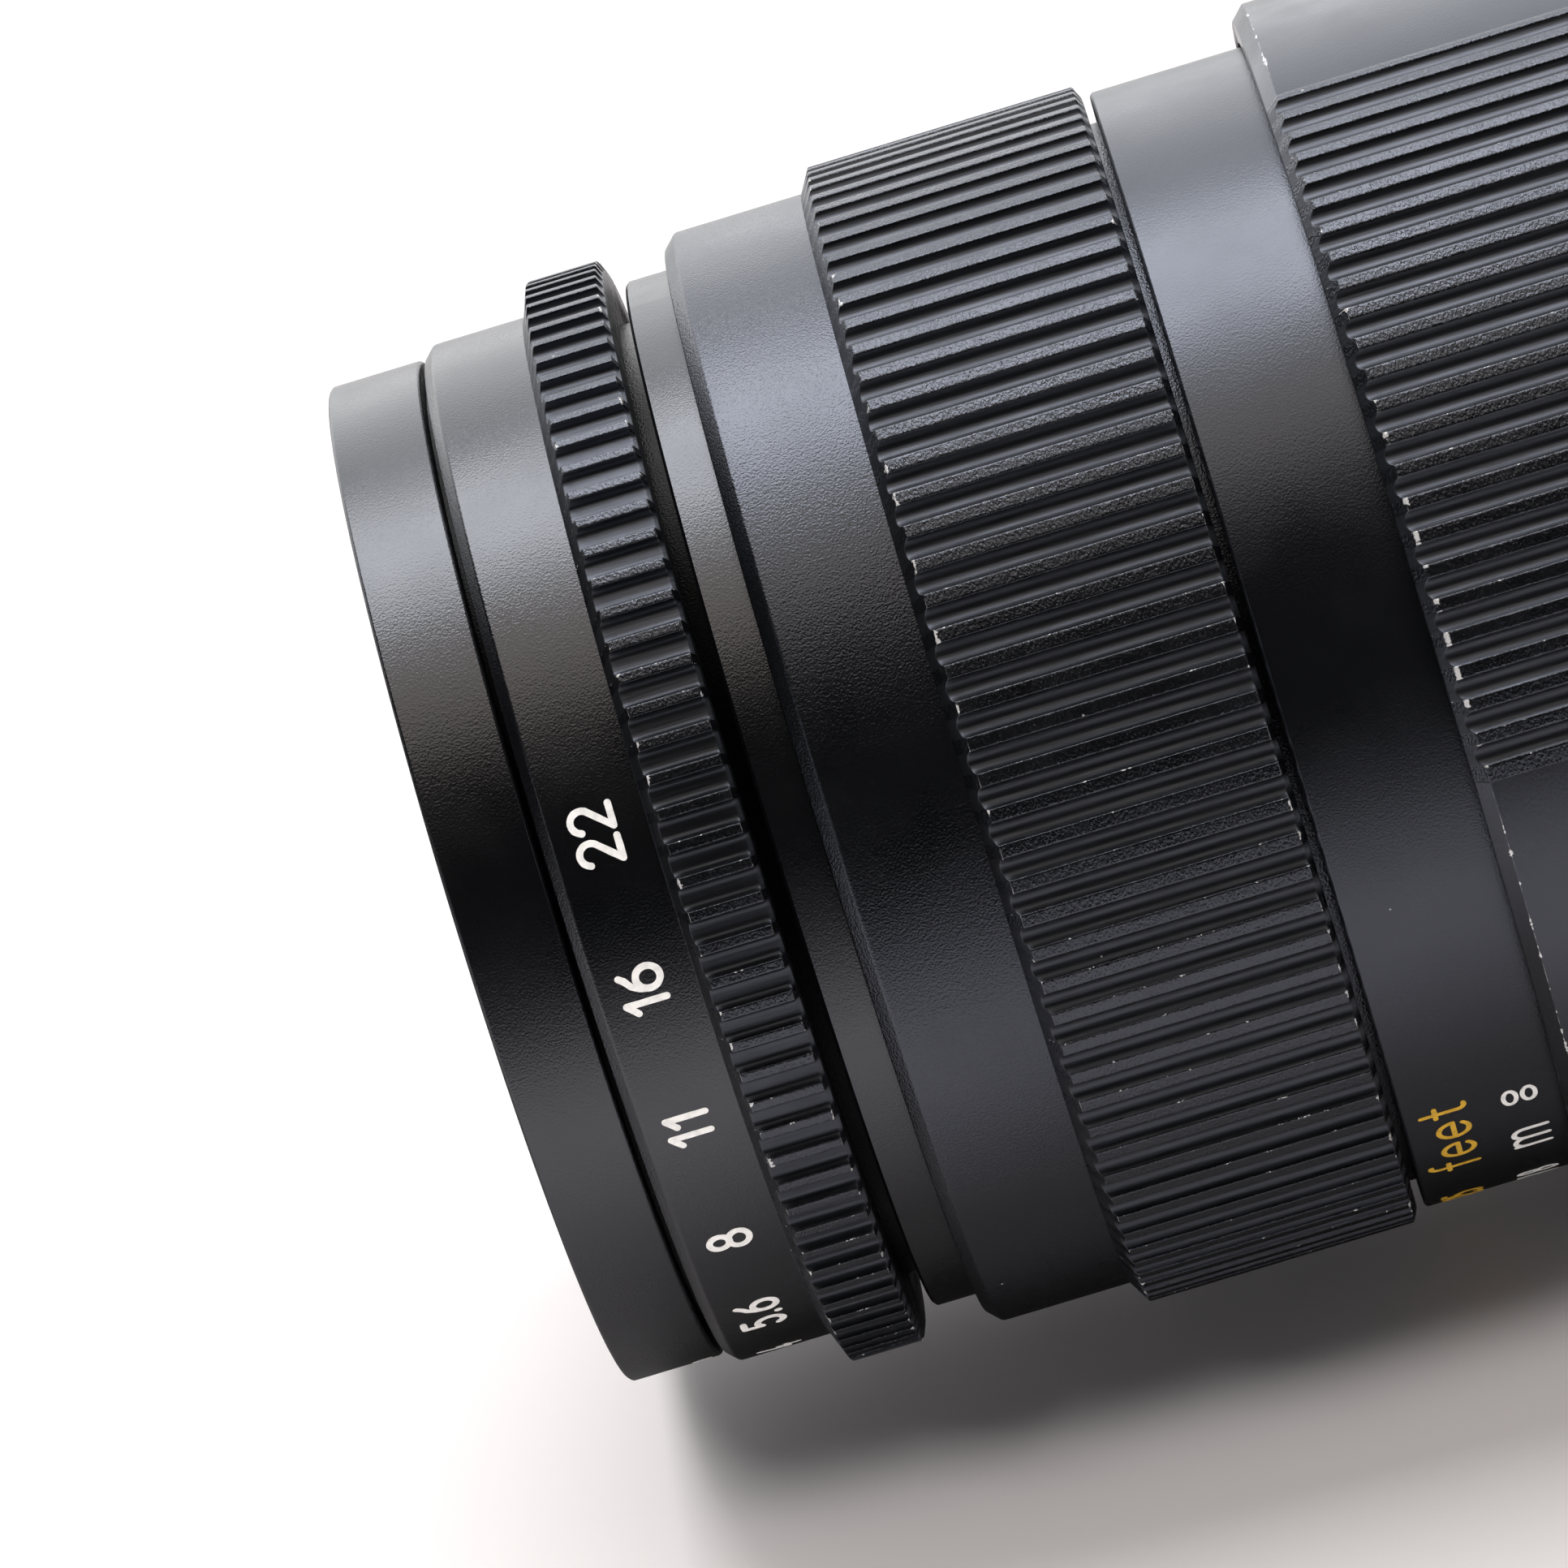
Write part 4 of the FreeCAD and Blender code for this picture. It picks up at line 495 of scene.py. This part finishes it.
# The aperture ring: scale band and ribbed grip.

RIBS = 104
BAND, BAND_BORE, BAND_CUT = 21.45, 20.05, 0.44
KNURL, KNURL_CONE, KNURL_CUT = 22.775, 0.5, (0.2, 0.5)
KNURL_GROOVE = {"depth": 0.42, "mouth": 0.955}
BAND_SEAM = 0.02
band_front, knurl_rear = span("aperture_ring")
knurl_front = band_front + 4.28


def knurl_outline(height):
    top = KNURL + height
    cone = knurl_front + KNURL_CONE * (top - BAND) / (KNURL - BAND)
    return [(band_front, BAND - BAND_CUT, 0.06), (band_front + BAND_CUT, BAND, 0.1),
            (knurl_front, BAND, 0.04), (cone, top, 0.05), (knurl_rear - KNURL_CUT[0], top, 0.06),
            (knurl_rear, KNURL - KNURL_CUT[1], 0.05), (knurl_rear, BAND_BORE), (band_front, BAND_BORE)]


grooves = [90 + 360 / RIBS * number for number in range(RIBS)]
columns = ribbed_columns(grooves, KNURL, math.tau * KNURL / RIBS, flat=True, **KNURL_GROOVE)
knurl_black = worn_ribs("knurl_black", knurl_front + KNURL_CONE, knurl_rear - KNURL_CUT[0])
knurl = ribbed_ring("aperture_ring_ribbed", columns, knurl_outline)
dress(knurl, "aperture_control", "black_anodised", band_black, "aperture_ring")
knurl.data.materials.append(knurl_black)
centres = np.empty(len(knurl.data.polygons) * 3)
knurl.data.polygons.foreach_get("center", centres)
on_grip = (centres[::3] > (knurl_front - BAND_SEAM) * MM).astype(np.int32)
knurl.data.polygons.foreach_set("material_index", on_grip)


# The focus ring: collar, ribbed grip and distance scale sleeve.

COLLAR, COLLAR_CUT = 22.95, 0.56
CARRIER, CARRIER_BORE, CARRIER_LAND = 22.25, 21.0, 20.15
collar_front, carrier_rear = span("focus_carrier")
grip_front, grip_rear = span("focus_grip")
land_front, land_rear = collar_front + 4.8, collar_front + 8.7
collar = lathe("focus_collar", [
    (collar_front, COLLAR - COLLAR_CUT, 0.07), (collar_front + COLLAR_CUT, COLLAR, 0.12),
    (grip_front, COLLAR), (grip_front, CARRIER), (carrier_rear, CARRIER), (carrier_rear, CARRIER_BORE),
    (land_rear, CARRIER_BORE), (land_rear, CARRIER_LAND), (land_front, CARRIER_LAND),
    (land_front, CARRIER_BORE), (collar_front, CARRIER_BORE)])
collar_black = anodised("anodised_collar", grain=0.3, dust_share=0.1, layer=ANODIC_BLUE).material
dress(collar, "focus_ring", "black_anodised", collar_black, "focus_carrier")

GRIP, GRIP_CONE, GRIP_CUT = 23.9, 0.56, (0.25, 0.55)
GRIP_GROOVE = {"depth": 0.375, "mouth": 0.9}
GRIP_TURN = 1.35


def grip_outline(height):
    top = GRIP + height
    cone = grip_front + GRIP_CONE * (top - COLLAR) / (GRIP - COLLAR)
    return [(grip_front, COLLAR), (cone, top, 0.05), (grip_rear - GRIP_CUT[0], top, 0.07),
            (grip_rear, GRIP - GRIP_CUT[1], 0.05), (grip_rear, CARRIER), (grip_front, CARRIER)]


grooves = [angle + GRIP_TURN for angle in grooves]
columns = ribbed_columns(grooves, GRIP, math.tau * GRIP / RIBS, **GRIP_GROOVE)
grip_black = worn_ribs("grip_black", grip_front + GRIP_CONE, grip_rear - GRIP_CUT[0])
dress(ribbed_ring("focus_grip_ribbed", columns, grip_outline), "focus_ring", "black_anodised",
      grip_black, "focus_grip")

SLEEVE, SLEEVE_BORE, SLEEVE_CUT = 23.45, 22.6, 0.12
sleeve_front, sleeve_rear = span("distance_scale_sleeve")
sleeve = lathe("scale_sleeve", [
    (sleeve_front, SLEEVE - SLEEVE_CUT, 0.04), (sleeve_front + SLEEVE_CUT, SLEEVE, 0.05),
    (sleeve_rear, SLEEVE, 0.05), (sleeve_rear, SLEEVE_BORE), (carrier_rear, SLEEVE_BORE),
    (carrier_rear, CARRIER), (sleeve_front, CARRIER)])
dress(sleeve, "focus_ring", "black_anodised", sleeve_black, "distance_scale_sleeve")


# The rear barrel with its two fields of ribs, and the base ring.

BARREL, BARREL_BORE, BARREL_CUT = 25.1, 23.65, 0.58
WAIST, FLARE = 24.7, 25.9
INDEX = -59.9
FIELD_OFFSET, FIELD_GROOVES, FIELD_PITCH = 103.5, 23, 3.065
COLUMNS_AT_INDEX, COLUMNS_OPPOSITE = 140, 120
BARREL_GROOVE = {"depth": 0.28, "mouth": 0.836}
barrel_front, base_front = span("rear_barrel")
ribs_end = barrel_front + 17.0
flare_front = base_front - 6.48


def barrel_outline(height):
    top = BARREL + height
    return [(barrel_front, BARREL - BARREL_CUT, 0.06), (barrel_front + BARREL_CUT + height, top, 0.05),
            (ribs_end - height, top, 0.05), (ribs_end + BARREL - WAIST, WAIST, 0.08),
            (flare_front, WAIST, 0.5), (base_front, FLARE, 0.04),
            (base_front, BARREL_BORE), (barrel_front, BARREL_BORE)]


columns = []
for centre in (INDEX - FIELD_OFFSET, INDEX + FIELD_OFFSET):
    field = [centre + FIELD_PITCH * (number - FIELD_GROOVES // 2) for number in range(FIELD_GROOVES)]
    ribbed = ribbed_columns(field, BARREL, math.radians(FIELD_PITCH) * BARREL, **BARREL_GROOVE)
    if columns:
        columns += smooth_columns(columns[-1][0], ribbed[0][0], COLUMNS_AT_INDEX)
    columns += ribbed
columns += smooth_columns(columns[-1][0], columns[0][0] + 360, COLUMNS_OPPOSITE)
barrel_black = worn_ribs("barrel_black", barrel_front + BARREL_CUT, ribs_end, bars=True)
dress(ribbed_ring("rear_barrel_ribbed", columns, barrel_outline), "rear_body", "black_anodised",
      barrel_black, "rear_barrel")

BASE, BASE_BORE, BASE_CUT = 26.2, 20.6, 0.24
BASE_SPIGOT_BORE = 22.8
base_start, mount_front = span("base_ring")
base = lathe("base_ring_turned", [
    (base_start, BARREL_BORE, 0.05), (base_front, BARREL_BORE), (base_front, BASE - BASE_CUT, 0.05),
    (base_front + BASE_CUT, BASE, 0.05), (mount_front - BASE_CUT, BASE, 0.05),
    (mount_front, BASE - BASE_CUT, 0.05), (mount_front, BASE_BORE), (base_front, BASE_BORE),
    (base_front, BASE_SPIGOT_BORE), (base_start, BASE_SPIGOT_BORE)])
dress(base, "rear_body", "black_anodised", smooth_black, "base_ring")


# Figures and marks: strokes with round ends, laid just over the surface they fill.

ARC_STEP, RUN_LENGTH, DISC_CORNERS = 18, 0.3, 12


def arc(cx, cy, rx, ry, start, end):
    """Points of an elliptic arc between two angles in degrees."""
    count = max(3, int(abs(end - start) / ARC_STEP))
    turns = [math.radians(start + (end - start) * step / count) for step in range(count + 1)]
    return [(cx + rx * math.cos(turn), cy + ry * math.sin(turn)) for turn in turns]


# Each glyph: its width, then its strokes, in a box of height 1.
GLYPHS = {
    "0": (0.56, [arc(0.28, 0.5, 0.28, 0.5, 0, 360)]),
    "1": (0.3, [[(0.0, 0.76), (0.24, 1.0), (0.24, 0.0)]]),
    "2": (0.56, [arc(0.28, 0.72, 0.27, 0.28, 165, -30) + [(0.0, 0.0), (0.56, 0.0)]]),
    "3": (0.54, [arc(0.25, 0.75, 0.25, 0.25, 150, -90) + arc(0.25, 0.27, 0.28, 0.27, 85, -150)]),
    "4": (0.6, [[(0.4, 1.0), (0.0, 0.28), (0.6, 0.28)], [(0.44, 0.5), (0.44, 0.0)]]),
    "5": (0.56, [[(0.5, 1.0), (0.08, 1.0), (0.05, 0.56)] + arc(0.27, 0.33, 0.28, 0.33, 125, -145)]),
    "6": (0.56, [[(0.42, 1.0)] + arc(0.5, 0.3, 0.5, 0.62, 110, 180), arc(0.28, 0.3, 0.28, 0.3, 0, 360)]),
    "7": (0.52, [[(0.0, 1.0), (0.52, 1.0), (0.16, 0.0)]]),
    "8": (0.56, [arc(0.28, 0.75, 0.23, 0.25, 0, 360), arc(0.28, 0.26, 0.28, 0.26, 0, 360)]),
    "9": (0.56, [[(0.14, 0.0)] + arc(0.06, 0.7, 0.5, 0.62, -70, 0), arc(0.28, 0.7, 0.28, 0.3, 0, 360)]),
    ".": (0.08, [[(0.04, 0.02), (0.04, 0.06)]]),
    "f": (0.42, [arc(0.34, 0.8, 0.16, 0.2, 70, 180) + [(0.18, 0.0)], [(0.0, 0.62), (0.4, 0.62)]]),
    "e": (0.6, [[(0.0, 0.33), (0.6, 0.33)] + arc(0.3, 0.33, 0.3, 0.32, 15, 320)]),
    "t": (0.42, [[(0.16, 0.92), (0.16, 0.16)] + arc(0.3, 0.14, 0.14, 0.14, 180, 290),
                 [(0.0, 0.62), (0.36, 0.62)]]),
    "m": (0.8, [[(0.0, 0.0), (0.0, 0.62)], arc(0.2, 0.42, 0.2, 0.2, 180, 0) + [(0.4, 0.0)],
                arc(0.6, 0.42, 0.2, 0.2, 180, 0) + [(0.8, 0.0)]]),
    "inf": (0.7, [arc(0.35, 0.22, 0.35, 0.19, 0, 360), arc(0.35, 0.78, 0.35, 0.19, 0, 360)]),
    "line": (0.0, [[(0.0, 0.0), (0.0, 1.0)]]),
}


def stroke_pieces(points, width, rng):
    """Convex faces that cover a stroke: a block for each short run and a disc at each point."""
    runs = []
    for start, end in zip(points, points[1:]):
        length = math.hypot(end[0] - start[0], end[1] - start[1])
        count = max(1, math.ceil(length / RUN_LENGTH))
        runs += [(start[0] + (end[0] - start[0]) * step / count,
                  start[1] + (end[1] - start[1]) * step / count) for step in range(count)]
    runs.append(points[-1])
    halves = [width * rng.uniform(0.94, 1.05) / 2 for _ in runs]
    faces = []
    for (start, end), (here, there) in zip(zip(runs, runs[1:]), zip(halves, halves[1:])):
        dx, dy = end[0] - start[0], end[1] - start[1]
        length = math.hypot(dx, dy) or 1e-6
        nx, ny = -dy / length, dx / length
        faces.append([(start[0] - nx * here, start[1] - ny * here),
                      (end[0] - nx * there, end[1] - ny * there),
                      (end[0] + nx * there, end[1] + ny * there),
                      (start[0] + nx * here, start[1] + ny * here)])
    turns = [math.tau * step / DISC_CORNERS for step in range(DISC_CORNERS)]
    for centre, half in zip(runs, halves):
        faces.append([(centre[0] + half * math.cos(turn), centre[1] + half * math.sin(turn))
                      for turn in turns])
    return faces


def text_faces(words, angle, row, rng, gap=0.24):
    """Faces of a word centred on an angle, as (millimetres round the axis, -x) points."""
    x, height, width, radius = row
    glyphs = [GLYPHS[word] for word in words]
    total = sum(glyph[0] for glyph in glyphs) + gap * (len(glyphs) - 1)
    cursor = -total / 2
    middle = math.radians(angle) * radius
    faces = []
    for glyph_width, strokes in glyphs:
        for stroke in strokes:
            points = [(middle + (cursor + u) * height, -x + (v - 0.5) * height) for u, v in stroke]
            faces += stroke_pieces(points, width, rng)
        cursor += glyph_width + gap
    return faces


def marks(name, body, material, radius, faces, proud=0.012, sunk=0.03):
    """One thin solid piece from overlapping faces, bent round the axis at a radius."""
    points, loops = [], []
    for face in faces:
        loops.append(list(range(len(points), len(points) + len(face))))
        points += [Vector(point) for point in face]
    flat, _, triangles, _, _, origins = delaunay_2d_cdt(points, [], loops, 1, 1e-5)
    kept = [tuple(triangle) for triangle, origin in zip(triangles, origins) if origin]
    count = len(flat)
    solid = [spot(-point.y, math.degrees(point.x / radius), radius + proud) for point in flat]
    solid += [spot(-point.y, math.degrees(point.x / radius), radius - sunk) for point in flat]
    edges = dict.fromkeys(pair for triangle in kept for pair in zip(triangle, triangle[1:] + triangle[:1]))
    made = kept + [tuple(corner + count for corner in reversed(triangle)) for triangle in kept]
    made += [(end, start, start + count, end + count) for start, end in edges if (end, start) not in edges]
    used = sorted({corner for face in made for corner in face})
    renumber = {corner: number for number, corner in enumerate(used)}
    obj = add_object(name, [solid[corner] for corner in used],
                     [tuple(renumber[corner] for corner in face) for face in made])
    obj.data.shade_flat()
    return dress(obj, body, "black_anodised", material)


# Rows of figures and marks: station of the middle, height, width of the strokes, radius of the surface.
APERTURE_ROW = (FRONT + 6.22, 1.62, 0.28, BAND)
APERTURE_INDEX = (FRONT + 3.05, 0.6, 0.26, RIM)
METRE_ROW = (FRONT + 37.4, 1.5, 0.26, SLEEVE)
METRE_WORD = (FRONT + 37.05, 2.25, 0.23, SLEEVE)
INFINITY = (FRONT + 37.4, 1.38, 0.19, SLEEVE)
FEET_ROW = (FRONT + 34.25, 1.5, 0.26, SLEEVE)
FEET_WORD = (FRONT + 34.25, 1.95, 0.22, SLEEVE)
FOCUS_INDEX = (barrel_front + 1.9, 1.9, 0.3, BARREL)
DEPTH_LINE = (barrel_front + 1.5, 1.0, 0.16, BARREL)
DEPTH_NUMBER = (barrel_front + 3.2, 1.0, 0.16, BARREL)

rng = random.Random(7)
faces = []
for label, angle in (("22", 25.9), ("16", 9.2), ("11", -7.5), ("8", -24.2), ("4", -57.6),
                     ("5.6", -40.9)):
    faces += text_faces(list(label), angle, APERTURE_ROW, rng)
marks("aperture_numbers", "aperture_control", white_fill, BAND, faces)
marks("aperture_index", "lens_head", white_fill, RIM, text_faces(["line"], INDEX, APERTURE_INDEX, rng))

# The distance scale: each figure with its turn from the infinity sign, in degrees.
ZERO = -32.3
white = text_faces(["inf"], ZERO, INFINITY, rng)
white += text_faces(["m"], ZERO - 9.4, METRE_WORD, rng)
for label, turn in (("8", 23.6), ("7", 28.2), ("5", 38.5), ("4", 49), ("3", 67),
                    ("2.5", 82), ("2", 106), ("1.8", 122), ("1.5", 150)):
    white += text_faces(list(label), ZERO - turn, METRE_ROW, rng)
yellow = text_faces(list("feet"), ZERO - 5.0, FEET_WORD, rng, gap=0.32)
for label, turn in (("25", 25.8), ("20", 31.5), ("15", 42), ("12", 53), ("10", 63),
                    ("8", 79), ("7", 92), ("6", 106), ("5", 148)):
    yellow += text_faces(list(label), ZERO - turn, FEET_ROW, rng)
marks("metre_numbers", "focus_ring", white_fill, SLEEVE, white)
marks("feet_numbers", "focus_ring", yellow_fill, SLEEVE, yellow)

# The focus index between the depth of field marks. The first pair stands too close to have numbers.
faces = text_faces(["line"], INDEX, FOCUS_INDEX, rng)
for label, turn in (("", 1.9), ("8", 3.8), ("11", 5.3), ("16", 7.6), ("22", 10.6)):
    for way in (-1, 1):
        faces += text_faces(["line"], INDEX + turn * way, DEPTH_LINE, rng)
        if label:
            faces += text_faces(list(label), INDEX + turn * 1.25 * way, DEPTH_NUMBER, rng)
marks("focus_index", "rear_body", white_fill, BARREL, faces)


# Floor, lamps and camera.

SEEN = ("Is Camera Ray", "Is Glossy Ray", "Is Transmission Ray")
CAMERA_RAYS, GLOSSY_RAYS = SEEN[:1], SEEN[1:2]


def seen_directly(tree, kinds):
    """1 for the kinds of ray that show a background as it is, 0 for the rest."""
    path = add_node(tree, "ShaderNodeLightPath")
    total = path.outputs[kinds[0]]
    for kind in kinds[1:]:
        total = add_node(tree, "ShaderNodeMath", {0: total, 1: path.outputs[kind]},
                         operation="ADD").outputs[0]
    return total


FADE_CENTRE = (-0.05, -0.06, 0)
FADE_FROM, FADE_TO = 0.14, 0.4


def floor_paper():
    """Paper that fades into the white room behind the lens; in the lens's reflections it carries painted
    shade in front of the lens and a painted shadow under it.
    """
    paint = Paint("floor_paper", (0.95, 0.905, 0.91), 0.85)
    paint.bump(paint.noise(60, 2), 0.05, 0.0005)
    y = paint.coordinates()[1]
    away = paint.add("ShaderNodeVectorMath", {0: paint.place, 1: FADE_CENTRE}, operation="DISTANCE")
    far = paint.spread(away.outputs["Value"], FADE_FROM, FADE_TO, 0, 1)
    far = paint.product(far, paint.spread(y, -0.12, 0.02, 0, 1), seen_directly(paint.tree, SEEN))
    # Painted shade and shadow: for reflections only, the floor is mixed towards black in front of the lens
    # and under it.
    painted_shade_in_front = paint.spread(y, -0.03, -0.18, 0, 0.88)
    painted_shadow_under_lens = paint.math("MINIMUM", paint.spread(y, -0.06, -0.005, 0, 0.8),
                            paint.spread(y, 0.12, 0.05, 0, 0.8))
    shaded = paint.product(paint.math("MAXIMUM", painted_shade_in_front, painted_shadow_under_lens),
                           seen_directly(paint.tree, GLOSSY_RAYS))
    white = paint.add("ShaderNodeEmission", {"Color": (1, 1, 1, 1), "Strength": 1.0})
    dark = paint.add("ShaderNodeEmission", {"Color": (0, 0, 0, 1), "Strength": 0.0})
    open_below = paint.add("ShaderNodeBsdfTransparent")
    below = paint.add("ShaderNodeNewGeometry").outputs["Backfacing"]
    surface = paint.shader
    for share, other in ((far, white), (shaded, dark), (below, open_below)):
        surface = paint.add("ShaderNodeMixShader", {0: share, 1: surface.outputs[0], 2: other.outputs[0]})
    output = paint.tree.nodes["Material Output"]
    feed(paint.tree, output.inputs["Surface"], surface.outputs[0])
    return paint.material


# The floor touches the barrel's front edge and the base ring, so it rises a little to the front.
FLOOR_HALF = 2.2
SLOPE = (BASE - BARREL) / (base_front - barrel_front)
corners = [(-FLOOR_HALF, -FLOOR_HALF), (FLOOR_HALF, -FLOOR_HALF), (FLOOR_HALF, FLOOR_HALF),
           (-FLOOR_HALF, FLOOR_HALF)]
floor = add_object("floor", [(x, y, -BASE * MM + (base_front * MM - x) * SLOPE) for x, y in corners],
                   [(0, 1, 2, 3)])
floor.data.materials.append(floor_paper())


AIM = (-0.085, 0, 0)
WHITE, WARM = (1, 1, 1), (1, 0.88, 0.76)


def lamp(name, place, size_x, size_y, radiance, colour=WHITE):
    """An area lamp that points at the middle of the lens."""
    data = bpy.data.lights.new(name, "AREA")
    data.shape = "RECTANGLE"
    data.size, data.size_y = size_x, size_y
    data.energy = radiance * math.pi * size_x * size_y
    data.color = colour
    obj = bpy.data.objects.new(name, data)
    bpy.context.scene.collection.objects.link(obj)
    away = Vector(place) - Vector(AIM)
    obj.matrix_world = Matrix.Translation(place) @ away.to_track_quat("Z", "Y").to_matrix().to_4x4()
    return obj


# Two windows stand over the lens at these angles about its axis. The last two lamps give no reflections.
WINDOW_DISTANCE, WINDOW_LENGTH = 0.6, 0.52
for name, angle, width, radiance, colour in (("window", 103, 0.36, 4.9, WHITE),
                                             ("window_front", 69, 0.28, 1.2, WARM)):
    turn = math.radians(angle)
    place = (AIM[0], -WINDOW_DISTANCE * math.cos(turn), WINDOW_DISTANCE * math.sin(turn))
    lamp(name, place, WINDOW_LENGTH, width, radiance, colour)
lamp("fill_left", (-0.62, -0.34, 0.2), 0.3, 0.3, 0.4)
lamp("fill_right", (0.45, -0.34, 0.2), 0.3, 0.3, 0.4)
for name, place, size_x, size_y, radiance in (("fill_front", (-0.085, -0.6, 0.015), 0.9, 0.1, 6.0),
                                              ("fill_above", (-0.28, -0.25, 0.5), 0.2, 0.2, 8.5)):
    lamp(name, place, size_x, size_y, radiance).visible_glossy = False

# The room is bright behind the lens and dark in front of it. The camera itself sees plain white.
WALL_FROM, WALL_TO = 0.2, 0.95
ROOM_DARK, ROOM_BRIGHT = 0.004, 2.1
world = bpy.data.worlds.new("studio")
bpy.context.scene.world = world
world.use_nodes = True
sky = world.node_tree
direction = add_node(sky, "ShaderNodeTexCoord").outputs["Generated"]
depth = add_node(sky, "ShaderNodeSeparateXYZ", {"Vector": direction}).outputs[1]
wall = add_node(sky, "ShaderNodeMapRange", {"Value": depth, "From Min": WALL_FROM, "From Max": WALL_TO,
                                            "To Min": ROOM_DARK, "To Max": ROOM_BRIGHT},
                interpolation_type="SMOOTHSTEP").outputs["Result"]
room = sky.nodes["Background"]
feed(sky, room.inputs["Color"], (*WHITE, 1))
feed(sky, room.inputs["Strength"], wall)
backdrop = add_node(sky, "ShaderNodeBackground", {"Color": (*WHITE, 1), "Strength": 1.0})
choice = add_node(sky, "ShaderNodeMixShader", {0: seen_directly(sky, CAMERA_RAYS), 1: room.outputs[0],
                                               2: backdrop.outputs[0]})
feed(sky, sky.nodes["World Output"].inputs["Surface"], choice.outputs[0])

# The camera fitted to the photograph: its place, the point it aims at, and its roll in degrees.
CAMERA_PLACE = Vector((-0.08284, -0.3800908, 0.1732175))
CAMERA_AIM = Vector((-0.1006447, -0.0001975, 0.0004826))
CAMERA_ROLL = -17.9284
camera_data = bpy.data.cameras.new("camera")
camera_data.sensor_width = 36
camera_data.lens = 237.28
camera = bpy.data.objects.new("camera", camera_data)
bpy.context.scene.collection.objects.link(camera)
view = (CAMERA_PLACE - CAMERA_AIM).to_track_quat("Z", "Y").to_matrix().to_4x4()
roll = Matrix.Rotation(math.radians(CAMERA_ROLL), 4, "Z")
camera.matrix_world = Matrix.Translation(CAMERA_PLACE) @ view @ roll
bpy.context.scene.camera = camera
bpy.context.scene.view_settings.view_transform = "Standard"
